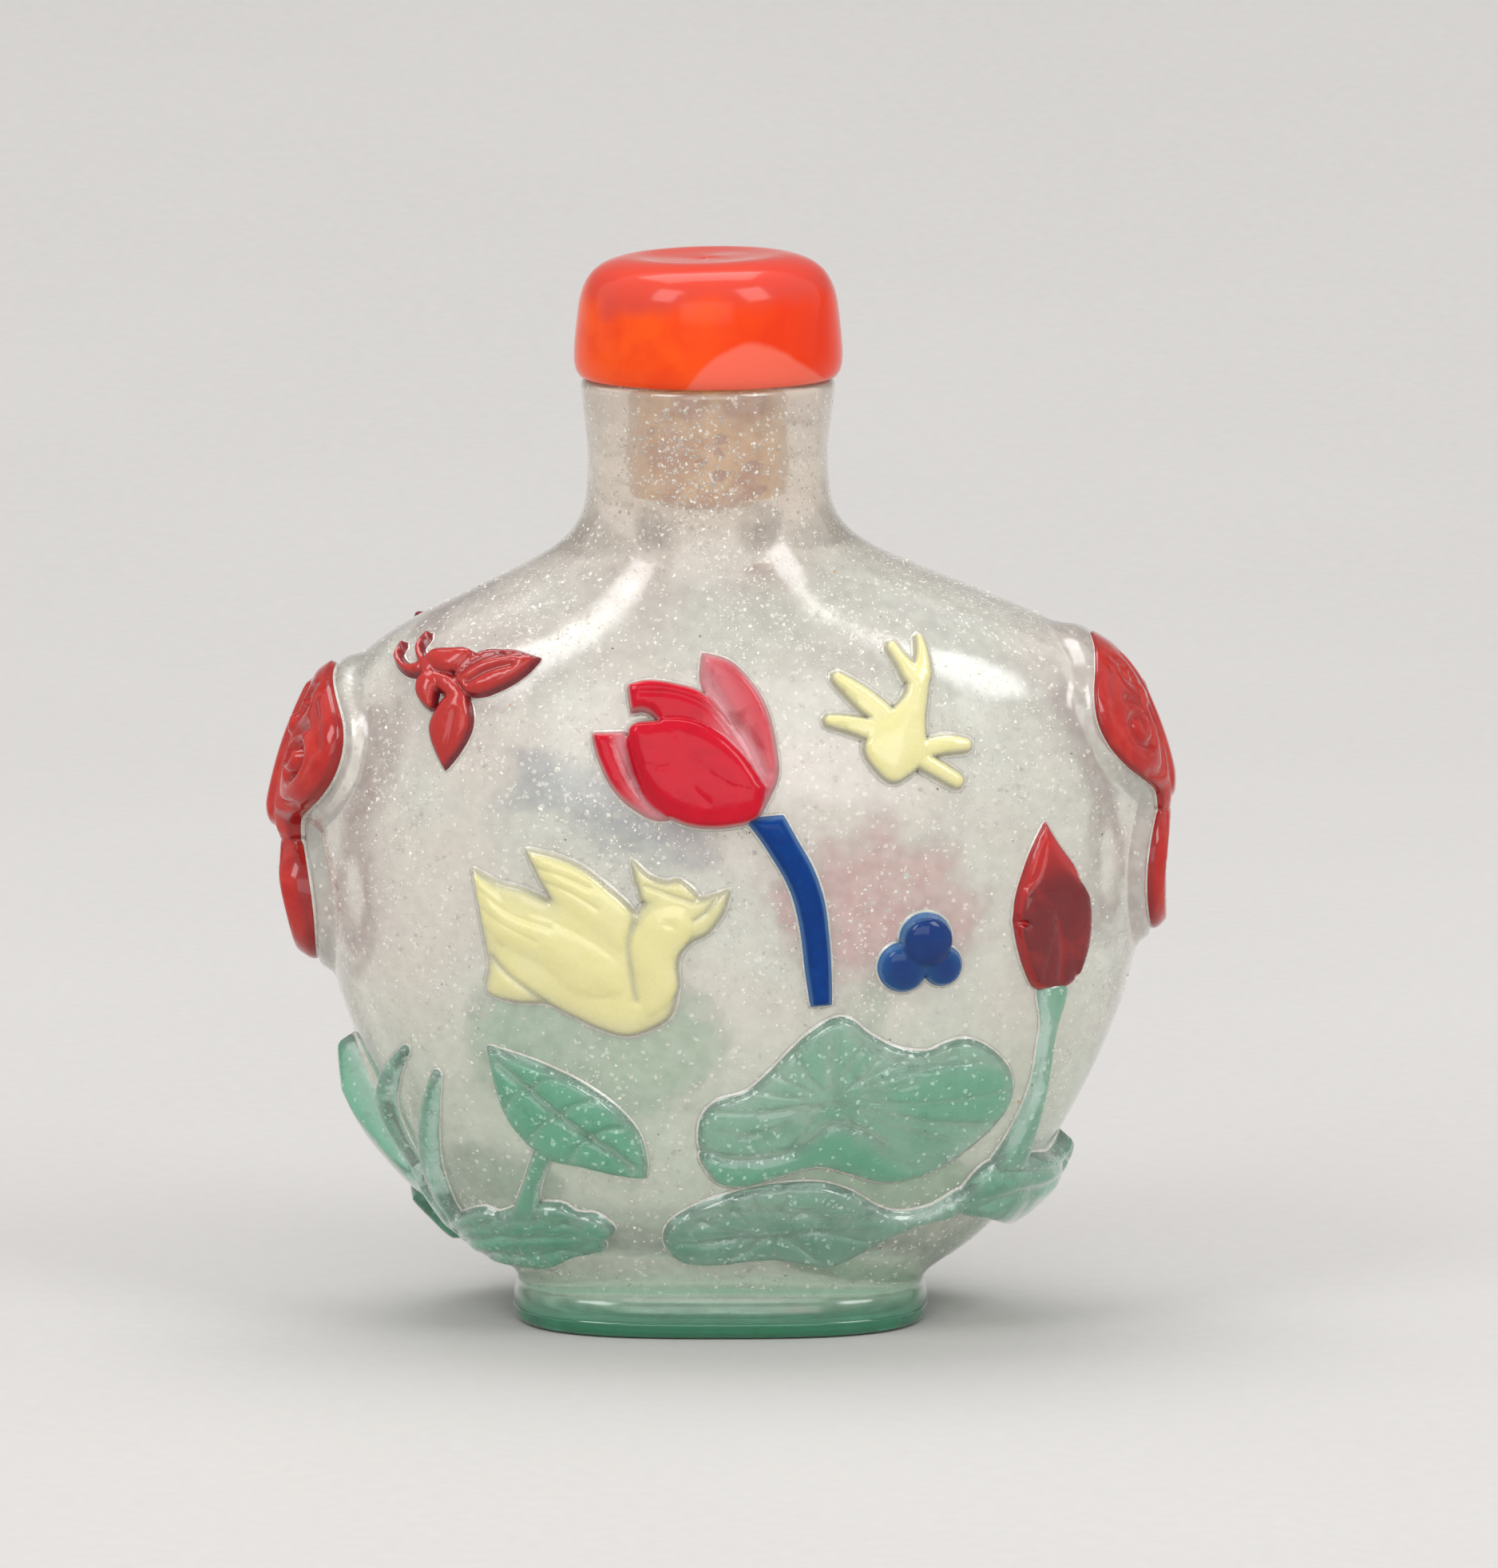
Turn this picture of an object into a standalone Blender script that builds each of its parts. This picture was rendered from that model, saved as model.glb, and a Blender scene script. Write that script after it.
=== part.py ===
"""Glass snuff bottle with coloured glass overlays, mask-and-ring handles and a capped cork stopper.

Metres, +Z up. The origin is the centre of the foot's underside and the decorated front looks along -Y.
A place on the glass is given as (u, z): u is the distance round the section at height z, counted from
the middle of the front, the back or a narrow side, positive to the right of someone facing that side.
The overlays' outlines are in millimetres of u and z.
"""

import functools
import math

import bmesh
import bpy
import numpy as np
from mathutils import Vector
from mathutils.geometry import delaunay_2d_cdt

MM = 0.001

# Bottle glass
LIP_HEIGHT = 0.0623
LIP_WIDTH = 0.0166
LIP_ROUND = 0.0006
NECK_WIDTH = 0.0157
NECK_HEIGHT = 0.0560
NECK_LEAN = -0.0008
BELLY_WIDTH = 0.0544
BELLY_DEPTH = 0.0284
BELLY_HEIGHT = 0.0304
BELLY_LEAN = 0.0008
BELLY_SQUARENESS = 2.25
WAIST_WIDTH = 0.0264
WAIST_DEPTH = 0.0174
WAIST_HEIGHT = 0.0028
BORE = 0.0068
SIDE_WALL = 0.0034
FACE_WALL = 0.0030
CAVITY_FLOOR = 0.0062
CAVITY_ROOF = 0.0500

# Foot
FOOT_WIDTH = 0.0273
FOOT_DEPTH = 0.0184
FOOT_HEIGHT = 0.0011
FOOT_SQUARENESS = 2.8
FOOT_RING_WIDTH = 0.0030
FOOT_ROUND = 0.0004

# Stopper
CAP_WIDTH = 0.0175
CAP_HEIGHT = 0.0076
CORK_LENGTH = 0.0084
CORK_CLEARANCE = 0.0003

# Fused pieces
SEAT_GAP = 0.0003
PAD_SINK = 0.0008
PAD_MARGIN = 0.0004

# The handles sit this many millimetres round from the middle of their sides
HANDLE_TURN = -0.5

# The long outer blade and the tip of the right-hand leaf stand this share higher where they turn the side
BLADE_LIFT = 1.4
TIP_LIFT = 0.7

# Fineness: corners round the glass, and the spacing of points on the overlays
AROUND = 36
GRID = 2.2
OUTLINE_STEP = 1.2

# An overlay's rim as a share of its height, how far in it rises to full height, and its grooves' floor
RIM = 0.55
RIM_RUN = 1.4
GROOVE_FLOOR = 0.5
TIP = "tip"
END_ROUND = 0.3

# The glass from waist to belly and from belly to neck: height as a share of that step, then half width
# and half depth as shares of the way from the slim end to the belly.
LOWER_FORM = [
    (0.000, 0.00, 0.00),
    (0.030, 0.04, 0.03),
    (0.063, 0.15, 0.09),
    (0.125, 0.29, 0.23),
    (0.235, 0.46, 0.49),
    (0.370, 0.62, 0.70),
    (0.555, 0.80, 0.88),
    (0.745, 0.93, 0.97),
]
UPPER_FORM = [
    (0.00, 1.00, 1.00),
    (0.24, 0.99, 0.91),
    (0.38, 0.95, 0.76),
    (0.47, 0.905, 0.64),
    (0.54, 0.83, 0.54),
    (0.61, 0.69, 0.42),
    (0.68, 0.49, 0.29),
    (0.74, 0.31, 0.18),
    (0.80, 0.14, 0.10),
    (0.87, 0.04, 0.04),
    (1.00, 0.00, 0.00),
]
LOWER_CAVITY = [
    (0.00, 0.46, 0.52),
    (0.05, 0.60, 0.67),
    (0.16, 0.72, 0.79),
    (0.36, 0.85, 0.90),
    (0.60, 0.95, 0.97),
]
UPPER_CAVITY = [
    (0.00, 1.00, 1.00),
    (0.30, 0.98, 0.92),
    (0.50, 0.92, 0.78),
    (0.62, 0.80, 0.66),
    (0.74, 0.52, 0.50),
    (0.85, 0.24, 0.30),
    (1.00, 0.00, 0.00),
]


def stretch(form, start, end, slim, full):
    """Rows of height, half width, half depth, lean and squareness, from a form given in shares."""
    rows = []
    for rise, wide, deep in form:
        shares = (wide, deep, 1 - (1 - wide) ** 2, wide)
        size = [low + share * (high - low) for low, high, share in zip(slim, full, shares)]
        rows.append([start + rise * (end - start)] + size)
    return rows


belly = (BELLY_WIDTH / 2, BELLY_DEPTH / 2, BELLY_LEAN, BELLY_SQUARENESS)
waist = (WAIST_WIDTH / 2, WAIST_DEPTH / 2, 0, FOOT_SQUARENESS)
neck = (NECK_WIDTH / 2, NECK_WIDTH / 2, NECK_LEAN, 2)
lip = (LIP_WIDTH / 2, LIP_WIDTH / 2, NECK_LEAN, 2)
bore = (BORE / 2, BORE / 2, NECK_LEAN, 2)
cavity = (BELLY_WIDTH / 2 - SIDE_WALL, BELLY_DEPTH / 2 - FACE_WALL, BELLY_LEAN, BELLY_SQUARENESS)
flange = (FOOT_WIDTH / 2, FOOT_DEPTH / 2, 0, FOOT_SQUARENESS)
glass_foot = FOOT_HEIGHT + SEAT_GAP
OUTSIDE = np.array(
    [(glass_foot, *flange)]
    + stretch(LOWER_FORM, WAIST_HEIGHT, BELLY_HEIGHT, waist, belly)
    + stretch(UPPER_FORM, BELLY_HEIGHT, NECK_HEIGHT, neck, belly)
    + [(LIP_HEIGHT - LIP_ROUND, *lip)]
)


def section(z):
    """Half width, half depth, lean and squareness of the outside at height z, read from a smooth curve."""
    heights, sizes = OUTSIDE[:, 0], OUTSIDE[:, 1:]
    z = min(max(z, heights[0]), heights[-1])
    i = int(min(max(np.searchsorted(heights, z) - 1, 0), len(heights) - 2))
    slopes = np.diff(sizes, axis=0) / np.diff(heights)[:, None]
    step = heights[i + 1] - heights[i]
    t = (z - heights[i]) / step
    enter = (slopes[max(i - 1, 0)] + slopes[i]) / 2 * step
    leave = (slopes[i] + slopes[min(i + 1, len(slopes) - 1)]) / 2 * step
    between = (2 * t**3 - 3 * t**2 + 1) * sizes[i] + (3 * t**2 - 2 * t**3) * sizes[i + 1]
    return between + (t**3 - 2 * t**2 + t) * enter + (t**3 - t**2) * leave


def oval(half_width, half_depth, lean, squareness, angle):
    """A point of the oval section, its angle counted from the middle of the front towards +X."""
    across, along = np.sin(angle), -np.cos(angle)
    x = half_width * np.sign(across) * np.abs(across) ** (2 / squareness)
    y = half_depth * np.sign(along) * np.abs(along) ** (2 / squareness)
    return x + lean, y


QUARTER = 180
TURN = np.linspace(-math.pi, math.pi, 4 * QUARTER + 1)
FACES = {"front": 0, "right": 1, "back": 2, "left": 3}


@functools.lru_cache(maxsize=None)
def girth(z):
    """The section's points at height z, and the distance to each from the middle of the front."""
    x, y = oval(*section(z), TURN)
    run = np.concatenate([[0], np.cumsum(np.hypot(np.diff(x), np.diff(y)))])
    return x, y, run - run[2 * QUARTER]


def on_glass(face, u, z):
    x, y, run = girth(round(z, 6))
    at = (u + FACES[face] * run[3 * QUARTER] - run[0]) % (run[-1] - run[0]) + run[0]
    return Vector((np.interp(at, run, x), np.interp(at, run, y), z))


def off_glass(face, u, z, lift):
    """A point lift above the glass at (u, z), along the glass's normal there."""
    step = 0.0002
    across = on_glass(face, u + step, z) - on_glass(face, u - step, z)
    up = on_glass(face, u, z + step) - on_glass(face, u, z - step)
    return on_glass(face, u, z) + across.cross(up).normalized() * lift


# Materials

COLOURS = {
    "snow_glass": ((0.62, 0.60, 0.56), 0.12),
    "green_glass": ((0.10, 0.46, 0.32), 0.12),
    "red_glass": ((0.45, 0.03, 0.04), 0.25),
    "ruby_glass": ((0.62, 0.02, 0.08), 0.12),
    "blue_glass": ((0.01, 0.06, 0.30), 0.12),
    "yellow_glass": ((0.78, 0.74, 0.36), 0.30),
    "coral": ((0.80, 0.09, 0.02), 0.12),
    "cork": ((0.50, 0.33, 0.18), 0.85),
}


def material(name):
    if name in bpy.data.materials:
        return bpy.data.materials[name]
    made = bpy.data.materials.new(name)
    made.use_nodes = True
    shader = made.node_tree.nodes["Principled BSDF"]
    colour, roughness = COLOURS[name]
    shader.inputs["Base Color"].default_value = (*colour, 1)
    shader.inputs["Roughness"].default_value = roughness
    shader.inputs["Metallic"].default_value = 0
    made.diffuse_color = (*colour, 1)
    return made


def add(name, mesh, colour, collection="Snuff bottle"):
    """An object from the mesh, in the named collection, with its material and smooth shading."""
    if collection not in bpy.data.collections:
        bpy.context.scene.collection.children.link(bpy.data.collections.new(collection))
    piece = bpy.data.objects.new(name, mesh)
    bpy.data.collections[collection].objects.link(piece)
    mesh.materials.append(material(colour))
    mesh.shade_smooth()
    mesh.set_sharp_from_angle(angle=math.radians(40))
    return piece


# Bottle, foot and stopper


def loft(name, rows, colour, closed=False):
    """A skin through oval sections, capped at its two ends, or closed on itself like a ring."""
    work = bmesh.new()
    turn = [2 * math.pi * i / AROUND for i in range(AROUND)]
    rings = []
    for z, *size in rows:
        rings.append([work.verts.new((*oval(*size, angle), z)) for angle in turn])
    pairs = list(zip(rings, rings[1:]))
    if closed:
        pairs.append((rings[-1], rings[0]))
    else:
        work.faces.new(rings[0])
        work.faces.new(rings[-1])
    for lower, upper in pairs:
        for i in range(AROUND):
            j = (i + 1) % AROUND
            work.faces.new((lower[i], lower[j], upper[j], upper[i]))
    bmesh.ops.recalc_face_normals(work, faces=work.faces[:])
    mesh = bpy.data.meshes.new(name)
    work.to_mesh(mesh)
    work.free()
    return add(name, mesh, colour)


def inset(size, by):
    half_width, half_depth, lean, squareness = size
    return half_width - by, half_depth - by, lean, squareness


def bottle():
    outside = [(row[0], *section(row[0])) for row in OUTSIDE]
    outside.insert(1, ((glass_foot + WAIST_HEIGHT) / 2, *inset(flange, FOOT_ROUND / 4)))
    mouth = [
        (LIP_HEIGHT - LIP_ROUND / 3, *inset(lip, LIP_ROUND / 3)),
        (LIP_HEIGHT, *inset(lip, LIP_ROUND)),
        (LIP_HEIGHT, *inset(bore, -LIP_ROUND / 2)),
        (LIP_HEIGHT - LIP_ROUND / 2, *bore),
    ]
    inside = stretch(LOWER_CAVITY, CAVITY_FLOOR, BELLY_HEIGHT, bore, cavity)
    inside += stretch(UPPER_CAVITY, BELLY_HEIGHT, CAVITY_ROOF, bore, cavity)
    return loft("bottle_body", outside + mouth + inside[::-1], "snow_glass")


def foot():
    outer, inner = flange, inset(flange, FOOT_RING_WIDTH)
    half_round = FOOT_ROUND / 2
    rows = [
        (0, *inset(outer, FOOT_ROUND + half_round)),
        (half_round, *inset(outer, half_round)),
        (FOOT_HEIGHT / 2, *outer),
        (FOOT_HEIGHT, *inset(outer, half_round / 2)),
        (FOOT_HEIGHT, *inner),
        (half_round, *inner),
        (0, *inset(inner, -half_round)),
    ]
    return loft("foot_rim", rows, "green_glass", closed=True)


CAP_PROFILE = [
    (0.00, 0.955), (0.05, 0.985), (0.17, 1.000), (0.40, 0.985), (0.65, 0.955), (0.80, 0.905),
    (0.90, 0.830), (0.965, 0.720), (1.00, 0.560), (0.985, 0.300),
]


def cap():
    """A turned cap, flat below and slightly dished above, resting on the lip."""
    mesh = bpy.data.meshes.new("stopper_cap")
    heights = [(share * CAP_HEIGHT, wide * CAP_WIDTH / 2) for share, wide in CAP_PROFILE]
    outline = [(0, heights[-1][0])] + [(wide, z) for z, wide in reversed(heights)] + [(0, 0)]
    edges = [(i, i + 1) for i in range(len(outline) - 1)]
    mesh.from_pydata([(wide, 0, z) for wide, z in outline], edges, [])
    piece = add("stopper_cap", mesh, "coral")
    piece.location = (NECK_LEAN, 0, LIP_HEIGHT + SEAT_GAP)
    turned = piece.modifiers.new("turned", "SCREW")
    turned.steps = turned.render_steps = AROUND
    turned.use_merge_vertices = True
    turned.merge_threshold = 0.00005
    turned.use_smooth_shade = True
    return piece


def cork():
    radius = BORE / 2 - CORK_CLEARANCE
    bpy.ops.mesh.primitive_cone_add(
        vertices=AROUND // 2, radius1=radius * 0.95, radius2=radius, depth=CORK_LENGTH, end_fill_type="NGON"
    )
    made = bpy.context.object
    mesh = made.data
    bpy.data.objects.remove(made)
    piece = add("stopper_cork", mesh, "cork")
    piece.location = (NECK_LEAN, 0, LIP_HEIGHT - CORK_LENGTH / 2)
    return piece


# Overlay outlines, in millimetres of u and z


def rounded(points, closed=True):
    """A line through the points, smooth but for those marked TIP, with a point every OUTLINE_STEP."""
    corner = [len(point) > 2 for point in points]
    points = [Vector(point[:2]) for point in points]
    count = len(points)
    found = []
    for i in range(count if closed else count - 1):
        start, end = points[i], points[(i + 1) % count]
        before = start if corner[i] or not closed and i == 0 else points[i - 1]
        stop = corner[(i + 1) % count] or not closed and i + 2 == count
        after = end if stop else points[(i + 2) % count]
        pieces = max(1, round((end - start).length / OUTLINE_STEP))
        for t in np.arange(pieces) / pieces:
            line = 2 * start + (end - before) * t
            bend = (2 * before - 5 * start + 4 * end - after) * t**2
            turn = (3 * start - before - 3 * end + after) * t**3
            found.append((line + bend + turn) / 2)
    return found if closed else found + [points[-1]]


def stroke(points, widths):
    """The outline of a tapering stroke with rounded ends, along the points, with a width at each."""
    points = [Vector(point) for point in points]
    left, right = [], []
    for i, (point, width) in enumerate(zip(points, widths)):
        way = (points[min(i + 1, len(points) - 1)] - points[max(i - 1, 0)]).normalized()
        aside = Vector((-way.y, way.x)) * width / 2
        left.append(point + aside)
        right.append(point - aside)
    start = points[0] + (points[0] - points[1]).normalized() * widths[0] * END_ROUND
    end = points[-1] + (points[-1] - points[-2]).normalized() * widths[-1] * END_ROUND
    return rounded([(*point,) for point in [start, *left, end, *right[::-1]]])


def disc(centre, across, down):
    """A round or oval outline."""
    count = max(10, round(math.pi * (across + down) / 2 / OUTLINE_STEP))
    turns = [2 * math.pi * i / count for i in range(count)]
    return [Vector((centre[0] + across / 2 * math.cos(a), centre[1] + down / 2 * math.sin(a))) for a in turns]


def mirrored(half):
    """A whole outline from its right half, listed from the top down."""
    ends = [point for point in half if abs(point[0]) < 1e-6]
    left = [(-point[0], *point[1:]) for point in reversed(half) if point not in ends]
    return list(half) + left


# Overlay meshes


def inside_loop(point, loop):
    found = False
    for start, end in zip(loop, loop[1:] + loop[:1]):
        if (start.y > point.y) != (end.y > point.y):
            cross = start.x + (point.y - start.y) / (end.y - start.y) * (end.x - start.x)
            found = found != (point.x < cross)
    return found


def distance(point, lines):
    """From a flat point to the nearest of the lines, each a start and an end."""
    least = math.inf
    for start, end in lines:
        way = end - start
        t = min(max((point - start).dot(way) / max(way.length_squared, 1e-12), 0), 1)
        least = min(least, (point - start - way * t).length)
    return least


def fill(loops, holes, grooves):
    """Flat triangles over all the loops together, less the holes, with an edge along every groove."""
    points, edges = [], []
    for line in loops + holes:
        edges += [(len(points) + i, len(points) + (i + 1) % len(line)) for i in range(len(line))]
        points += line
    for line in grooves:
        edges += [(len(points) + i, len(points) + i + 1) for i in range(len(line) - 1)]
        points += line
    lines = [(points[a], points[b]) for a, b in edges]

    def kept(point):
        covered = any(inside_loop(point, loop) for loop in loops)
        return covered and not any(inside_loop(point, hole) for hole in holes)

    low = Vector((min(point.x for point in points), min(point.y for point in points)))
    high = Vector((max(point.x for point in points), max(point.y for point in points)))
    row_gap = GRID * math.sqrt(3) / 2
    for row in range(int((high.y - low.y) / row_gap) + 1):
        for column in range(int((high.x - low.x) / GRID) + 1):
            point = low + Vector(((column + row % 2 / 2) * GRID, (row + 0.5) * row_gap))
            if kept(point) and distance(point, lines) > GRID * 0.5:
                points.append(point)
    found, _, faces, *_ = delaunay_2d_cdt(points, edges, [], 0, 0.02)
    faces = [face for face in faces if kept(sum((found[i] for i in face), Vector((0, 0))) / 3)]
    work = bmesh.new()
    verts = [work.verts.new((*point, 0)) for point in found]
    for face in faces:
        work.faces.new([verts[i] for i in face])
    bmesh.ops.delete(work, geom=[vert for vert in verts if not vert.link_faces], context="VERTS")
    return work


def relief(
    name, face, loops, height, colour, holes=(), grooves=(), base=SEAT_GAP, rim=RIM, share_at=None, **where
):
    """A piece fused on the glass, its underside at base and its top height above that.

    The rim is lower than the middle and the grooves are cut in. share_at, where given, is a share of
    the height at a flat point.
    """
    grooves = [rounded(groove, closed=False) for groove in grooves]
    work = fill(list(loops), list(holes), grooves)
    rims = [(edge.verts[0].co.xy, edge.verts[1].co.xy) for edge in work.edges if edge.is_boundary]
    cuts = [line for groove in grooves for line in zip(groove, groove[1:])]
    under = set(work.verts)
    bmesh.ops.extrude_face_region(work, geom=work.faces[:])
    for vert in work.verts:
        flat = vert.co.xy
        if vert in under:
            lift = base
        else:
            share = rim + (1 - rim) * min(1, distance(flat, rims) / RIM_RUN)
            share *= GROOVE_FLOOR if distance(flat, cuts) < 0.05 else 1
            lift = base + height * share * (share_at(flat) if share_at else 1)
        vert.co = off_glass(face, flat.x * MM, flat.y * MM, lift)
    bmesh.ops.recalc_face_normals(work, faces=work.faces[:])
    mesh = bpy.data.meshes.new(name)
    work.to_mesh(mesh)
    work.free()
    return add(name, mesh, colour, **where)


# Handles: a mask with scrolls and its hanging ring, as right halves below the handle's top

MASK_HALF = [
    (0.0, 0.0), (1.8, -0.3), (4.1, -1.2), (6.1, -2.7), (7.0, -4.4), (6.8, -6.1), (5.6, -7.6),
    (3.8, -8.7), (2.3, -9.6), (1.6, -10.9),
]
MASK_CHIN = 8.7
RING_DROP = 14.6
RING_ACROSS = 7.8
RING_DOWN = 8.4
RING_BAND = 1.7
MASK_SCROLLS = [((2.2, -2.3), 0.9, 0.3, 1.0), ((3.9, -5.4), 1.7, 0.5, 1.3)]


def scroll(centre, start_radius, end_radius, turns, top, side):
    """A spiral groove, wound inwards from its upper end."""
    count = round(6 * turns)
    found = []
    for i in range(count + 1):
        radius = start_radius + (end_radius - start_radius) * i / count
        angle = math.pi / 2 + 2 * math.pi * turns * i / count
        across = side * (centre[0] + radius * math.cos(angle))
        found.append((HANDLE_TURN + across, top + centre[1] + radius * math.sin(angle)))
    return found


def handle_loops(top, margin):
    """The mask's and the ring's outlines, grown by a margin."""
    mask = [(u + math.copysign(margin, u), z + margin * (z > -1)) for u, z in mirrored(MASK_HALF)]
    ring = disc((HANDLE_TURN, top - RING_DROP), RING_ACROSS + 2 * margin, RING_DOWN + 2 * margin)
    return [rounded([(u + HANDLE_TURN, z + top) for u, z in mask]), ring]


def handle(side, top, pad_height, height, brow):
    """One red handle on a narrow side, and the clear pad under it that becomes part of the bottle.

    brow is the share of its height that the mask has at its top edge.
    """
    pad = relief(
        f"pad_{side}",
        side,
        handle_loops(top, PAD_MARGIN / MM),
        PAD_SINK + pad_height,
        "snow_glass",
        base=-PAD_SINK,
        rim=1,
        collection="Cutters",
    )
    pad.hide_render = True
    pad.display_type = "WIRE"
    fused = bpy.data.objects["bottle_body"].modifiers.new(f"pad_{side}", "BOOLEAN")
    fused.operation = "UNION"
    fused.solver = "EXACT"
    fused.object = pad

    def share_at(flat):
        return brow + (1 - brow) * min((top - flat.y) / MASK_CHIN, 1)

    hole = disc((HANDLE_TURN, top - RING_DROP), RING_ACROSS - 2 * RING_BAND, RING_DOWN - 2 * RING_BAND)
    relief(
        f"mask_handle_{side}",
        side,
        handle_loops(top, 0),
        height,
        "red_glass",
        holes=[hole],
        grooves=[scroll(*form, top, way) for form in MASK_SCROLLS for way in (-1, 1)],
        base=pad_height + SEAT_GAP,
        share_at=share_at,
    )


# Front overlays


def butterfly():
    body = [
        (-20.8, 44.3), (-21.1, 43.0), (-20.9, 42.3), (-20.3, 41.7), (-20.0, 40.6), (-19.8, 39.4),
        (-18.9, 37.9, TIP), (-17.9, 38.9), (-17.1, 40.8), (-17.3, 42.6), (-18.5, 44.4),
    ]
    wing = [
        (-20.0, 44.6), (-19.0, 45.0), (-17.8, 45.1), (-16.8, 44.8), (-15.5, 45.2), (-14.2, 45.3),
        (-12.4, 44.9, TIP), (-13.4, 44.0), (-14.8, 43.2), (-16.2, 42.6), (-17.5, 42.5),
    ]
    feelers = [
        stroke([(-20.7, 43.9), (-21.9, 43.8), (-22.9, 44.4), (-22.7, 45.1)], [0.8, 0.6, 0.6, 0.4]),
        stroke([(-20.5, 44.2), (-21.2, 45.0), (-20.7, 45.8)], [0.7, 0.6, 0.4]),
    ]
    veins = [[(-16.9, 43.3), (-15.0, 44.0), (-13.2, 44.6)], [(-19.6, 43.6), (-18.6, 42.6), (-18.4, 41.0)]]
    relief("butterfly", "front", [rounded(body), rounded(wing)] + feelers, 0.0010, "red_glass", grooves=veins)


def lotus_flower():
    right_petal = [
        (-1.8, 45.5, TIP), (-0.1, 45.0), (1.3, 43.6), (2.2, 42.0), (2.7, 39.9), (2.8, 37.8),
        (1.6, 35.3, TIP), (-0.6, 35.8), (-1.4, 39.0), (-1.6, 42.4), (-2.0, 44.0),
    ]
    back_petal = [
        (-6.7, 43.5, TIP), (-5.4, 43.8), (-3.6, 43.6), (-1.8, 43.0), (0.4, 40.4), (0.6, 37.5),
        (-2.6, 38.5), (-5.1, 41.7), (-6.5, 41.9, TIP),
    ]
    left_petal = [
        (-9.0, 40.5, TIP), (-8.7, 39.2), (-7.8, 37.3), (-6.5, 36.0), (-4.7, 35.2), (-3.0, 36.0),
        (-5.4, 39.0), (-7.0, 40.6, TIP),
    ]
    front_petal = [
        (-6.6, 40.9), (-5.0, 41.3), (-2.9, 41.3), (-1.0, 40.5), (0.7, 39.0), (2.0, 37.2, TIP),
        (1.6, 35.4), (-0.2, 34.8), (-2.4, 34.8), (-4.1, 35.4), (-5.6, 36.6), (-6.5, 38.9),
    ]
    folds = [
        [(-5.9, 40.8), (-3.4, 41.1), (-0.9, 40.3), (1.6, 37.6)],
        [(-6.2, 39.9), (-5.9, 38.0), (-4.6, 36.0)],
        [(-1.2, 42.3), (0.3, 40.8), (1.8, 38.2)],
    ]
    petals = [rounded(petal) for petal in (right_petal, back_petal, left_petal, front_petal)]
    relief("lotus_flower", "front", petals, 0.0014, "ruby_glass", grooves=folds)
    spine = [(2.5, 34.3), (3.4, 33.3), (4.4, 31.7), (5.0, 29.8), (5.3, 27.6), (5.5, 25.4), (5.7, 23.5)]
    relief("flower_stem", "front", [stroke(spine, [1.9, 1.8, 1.7, 1.6, 1.6, 1.5, 1.3])], 0.0009, "blue_glass")


def goldfish():
    body = stroke(
        [(12.0, 44.0), (11.9, 42.8), (11.4, 41.6), (10.8, 40.3), (10.5, 39.2), (10.4, 38.2)],
        [1.5, 1.5, 2.3, 3.8, 4.2, 2.6],
    )
    fins = [
        stroke([(12.2, 43.8), (12.4, 45.2), (12.3, 46.3)], [1.4, 0.9, 0.5]),
        stroke([(11.7, 43.9), (11.0, 44.9), (10.3, 45.9)], [1.2, 0.9, 0.7]),
        stroke([(10.2, 41.2), (8.4, 42.7), (6.6, 44.1)], [1.3, 1.4, 0.7]),
        stroke([(9.4, 40.6), (7.6, 41.1), (6.0, 41.4)], [1.3, 1.1, 0.7]),
        stroke([(12.0, 39.4), (13.8, 39.7), (15.3, 39.6)], [1.1, 1.2, 0.8]),
        stroke([(11.8, 39.0), (13.4, 38.1), (14.7, 37.3)], [1.0, 1.1, 0.9]),
    ]
    relief("goldfish", "front", [body] + fins, 0.0009, "yellow_glass")


def bird():
    outline = [
        (-17.0, 31.7, TIP), (-15.3, 30.9), (-13.5, 30.5), (-11.8, 29.9), (-12.6, 31.4),
        (-13.4, 33.1, TIP), (-11.7, 32.8), (-9.8, 32.1), (-8.0, 30.8), (-6.2, 29.1, TIP), (-5.6, 30.1),
        (-6.2, 31.1), (-6.5, 32.6, TIP), (-5.4, 31.6), (-4.3, 31.2), (-3.4, 31.3), (-2.2, 30.2),
        (-1.3, 30.3), (-0.2, 30.7, TIP), (-0.6, 29.3), (-1.6, 27.9), (-2.7, 27.3), (-3.5, 26.2),
        (-3.6, 24.0), (-4.0, 22.5), (-5.0, 21.7), (-6.7, 21.1), (-8.5, 21.5), (-10.3, 22.3),
        (-12.1, 23.1), (-14.0, 23.1), (-16.0, 23.7), (-15.9, 25.6), (-16.4, 28.2),
    ]
    cuts = [
        [(-15.2, 29.4), (-11.8, 27.8), (-7.6, 26.2)],
        [(-12.2, 26.1), (-11.0, 24.4), (-9.4, 23.4), (-7.6, 23.0)],
        [(-6.4, 28.2), (-5.8, 26.5), (-6.0, 24.6)],
    ]
    relief("bird", "front", [rounded(outline)], 0.0011, "yellow_glass", grooves=cuts)


def berry_cluster():
    balls = [((12.5, 27.3), 3.3), ((11.0, 25.5), 3.1), ((13.6, 25.5), 2.5)]

    def share_at(flat):
        tops = [1 - ((flat - Vector(centre)).length / across * 2) ** 2 for centre, across in balls]
        return 0.55 + 0.45 * max(*tops, 0)

    loops = [disc(centre, across, across) for centre, across in balls]
    relief("berry_cluster", "front", loops, 0.0016, "blue_glass", share_at=share_at)


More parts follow.
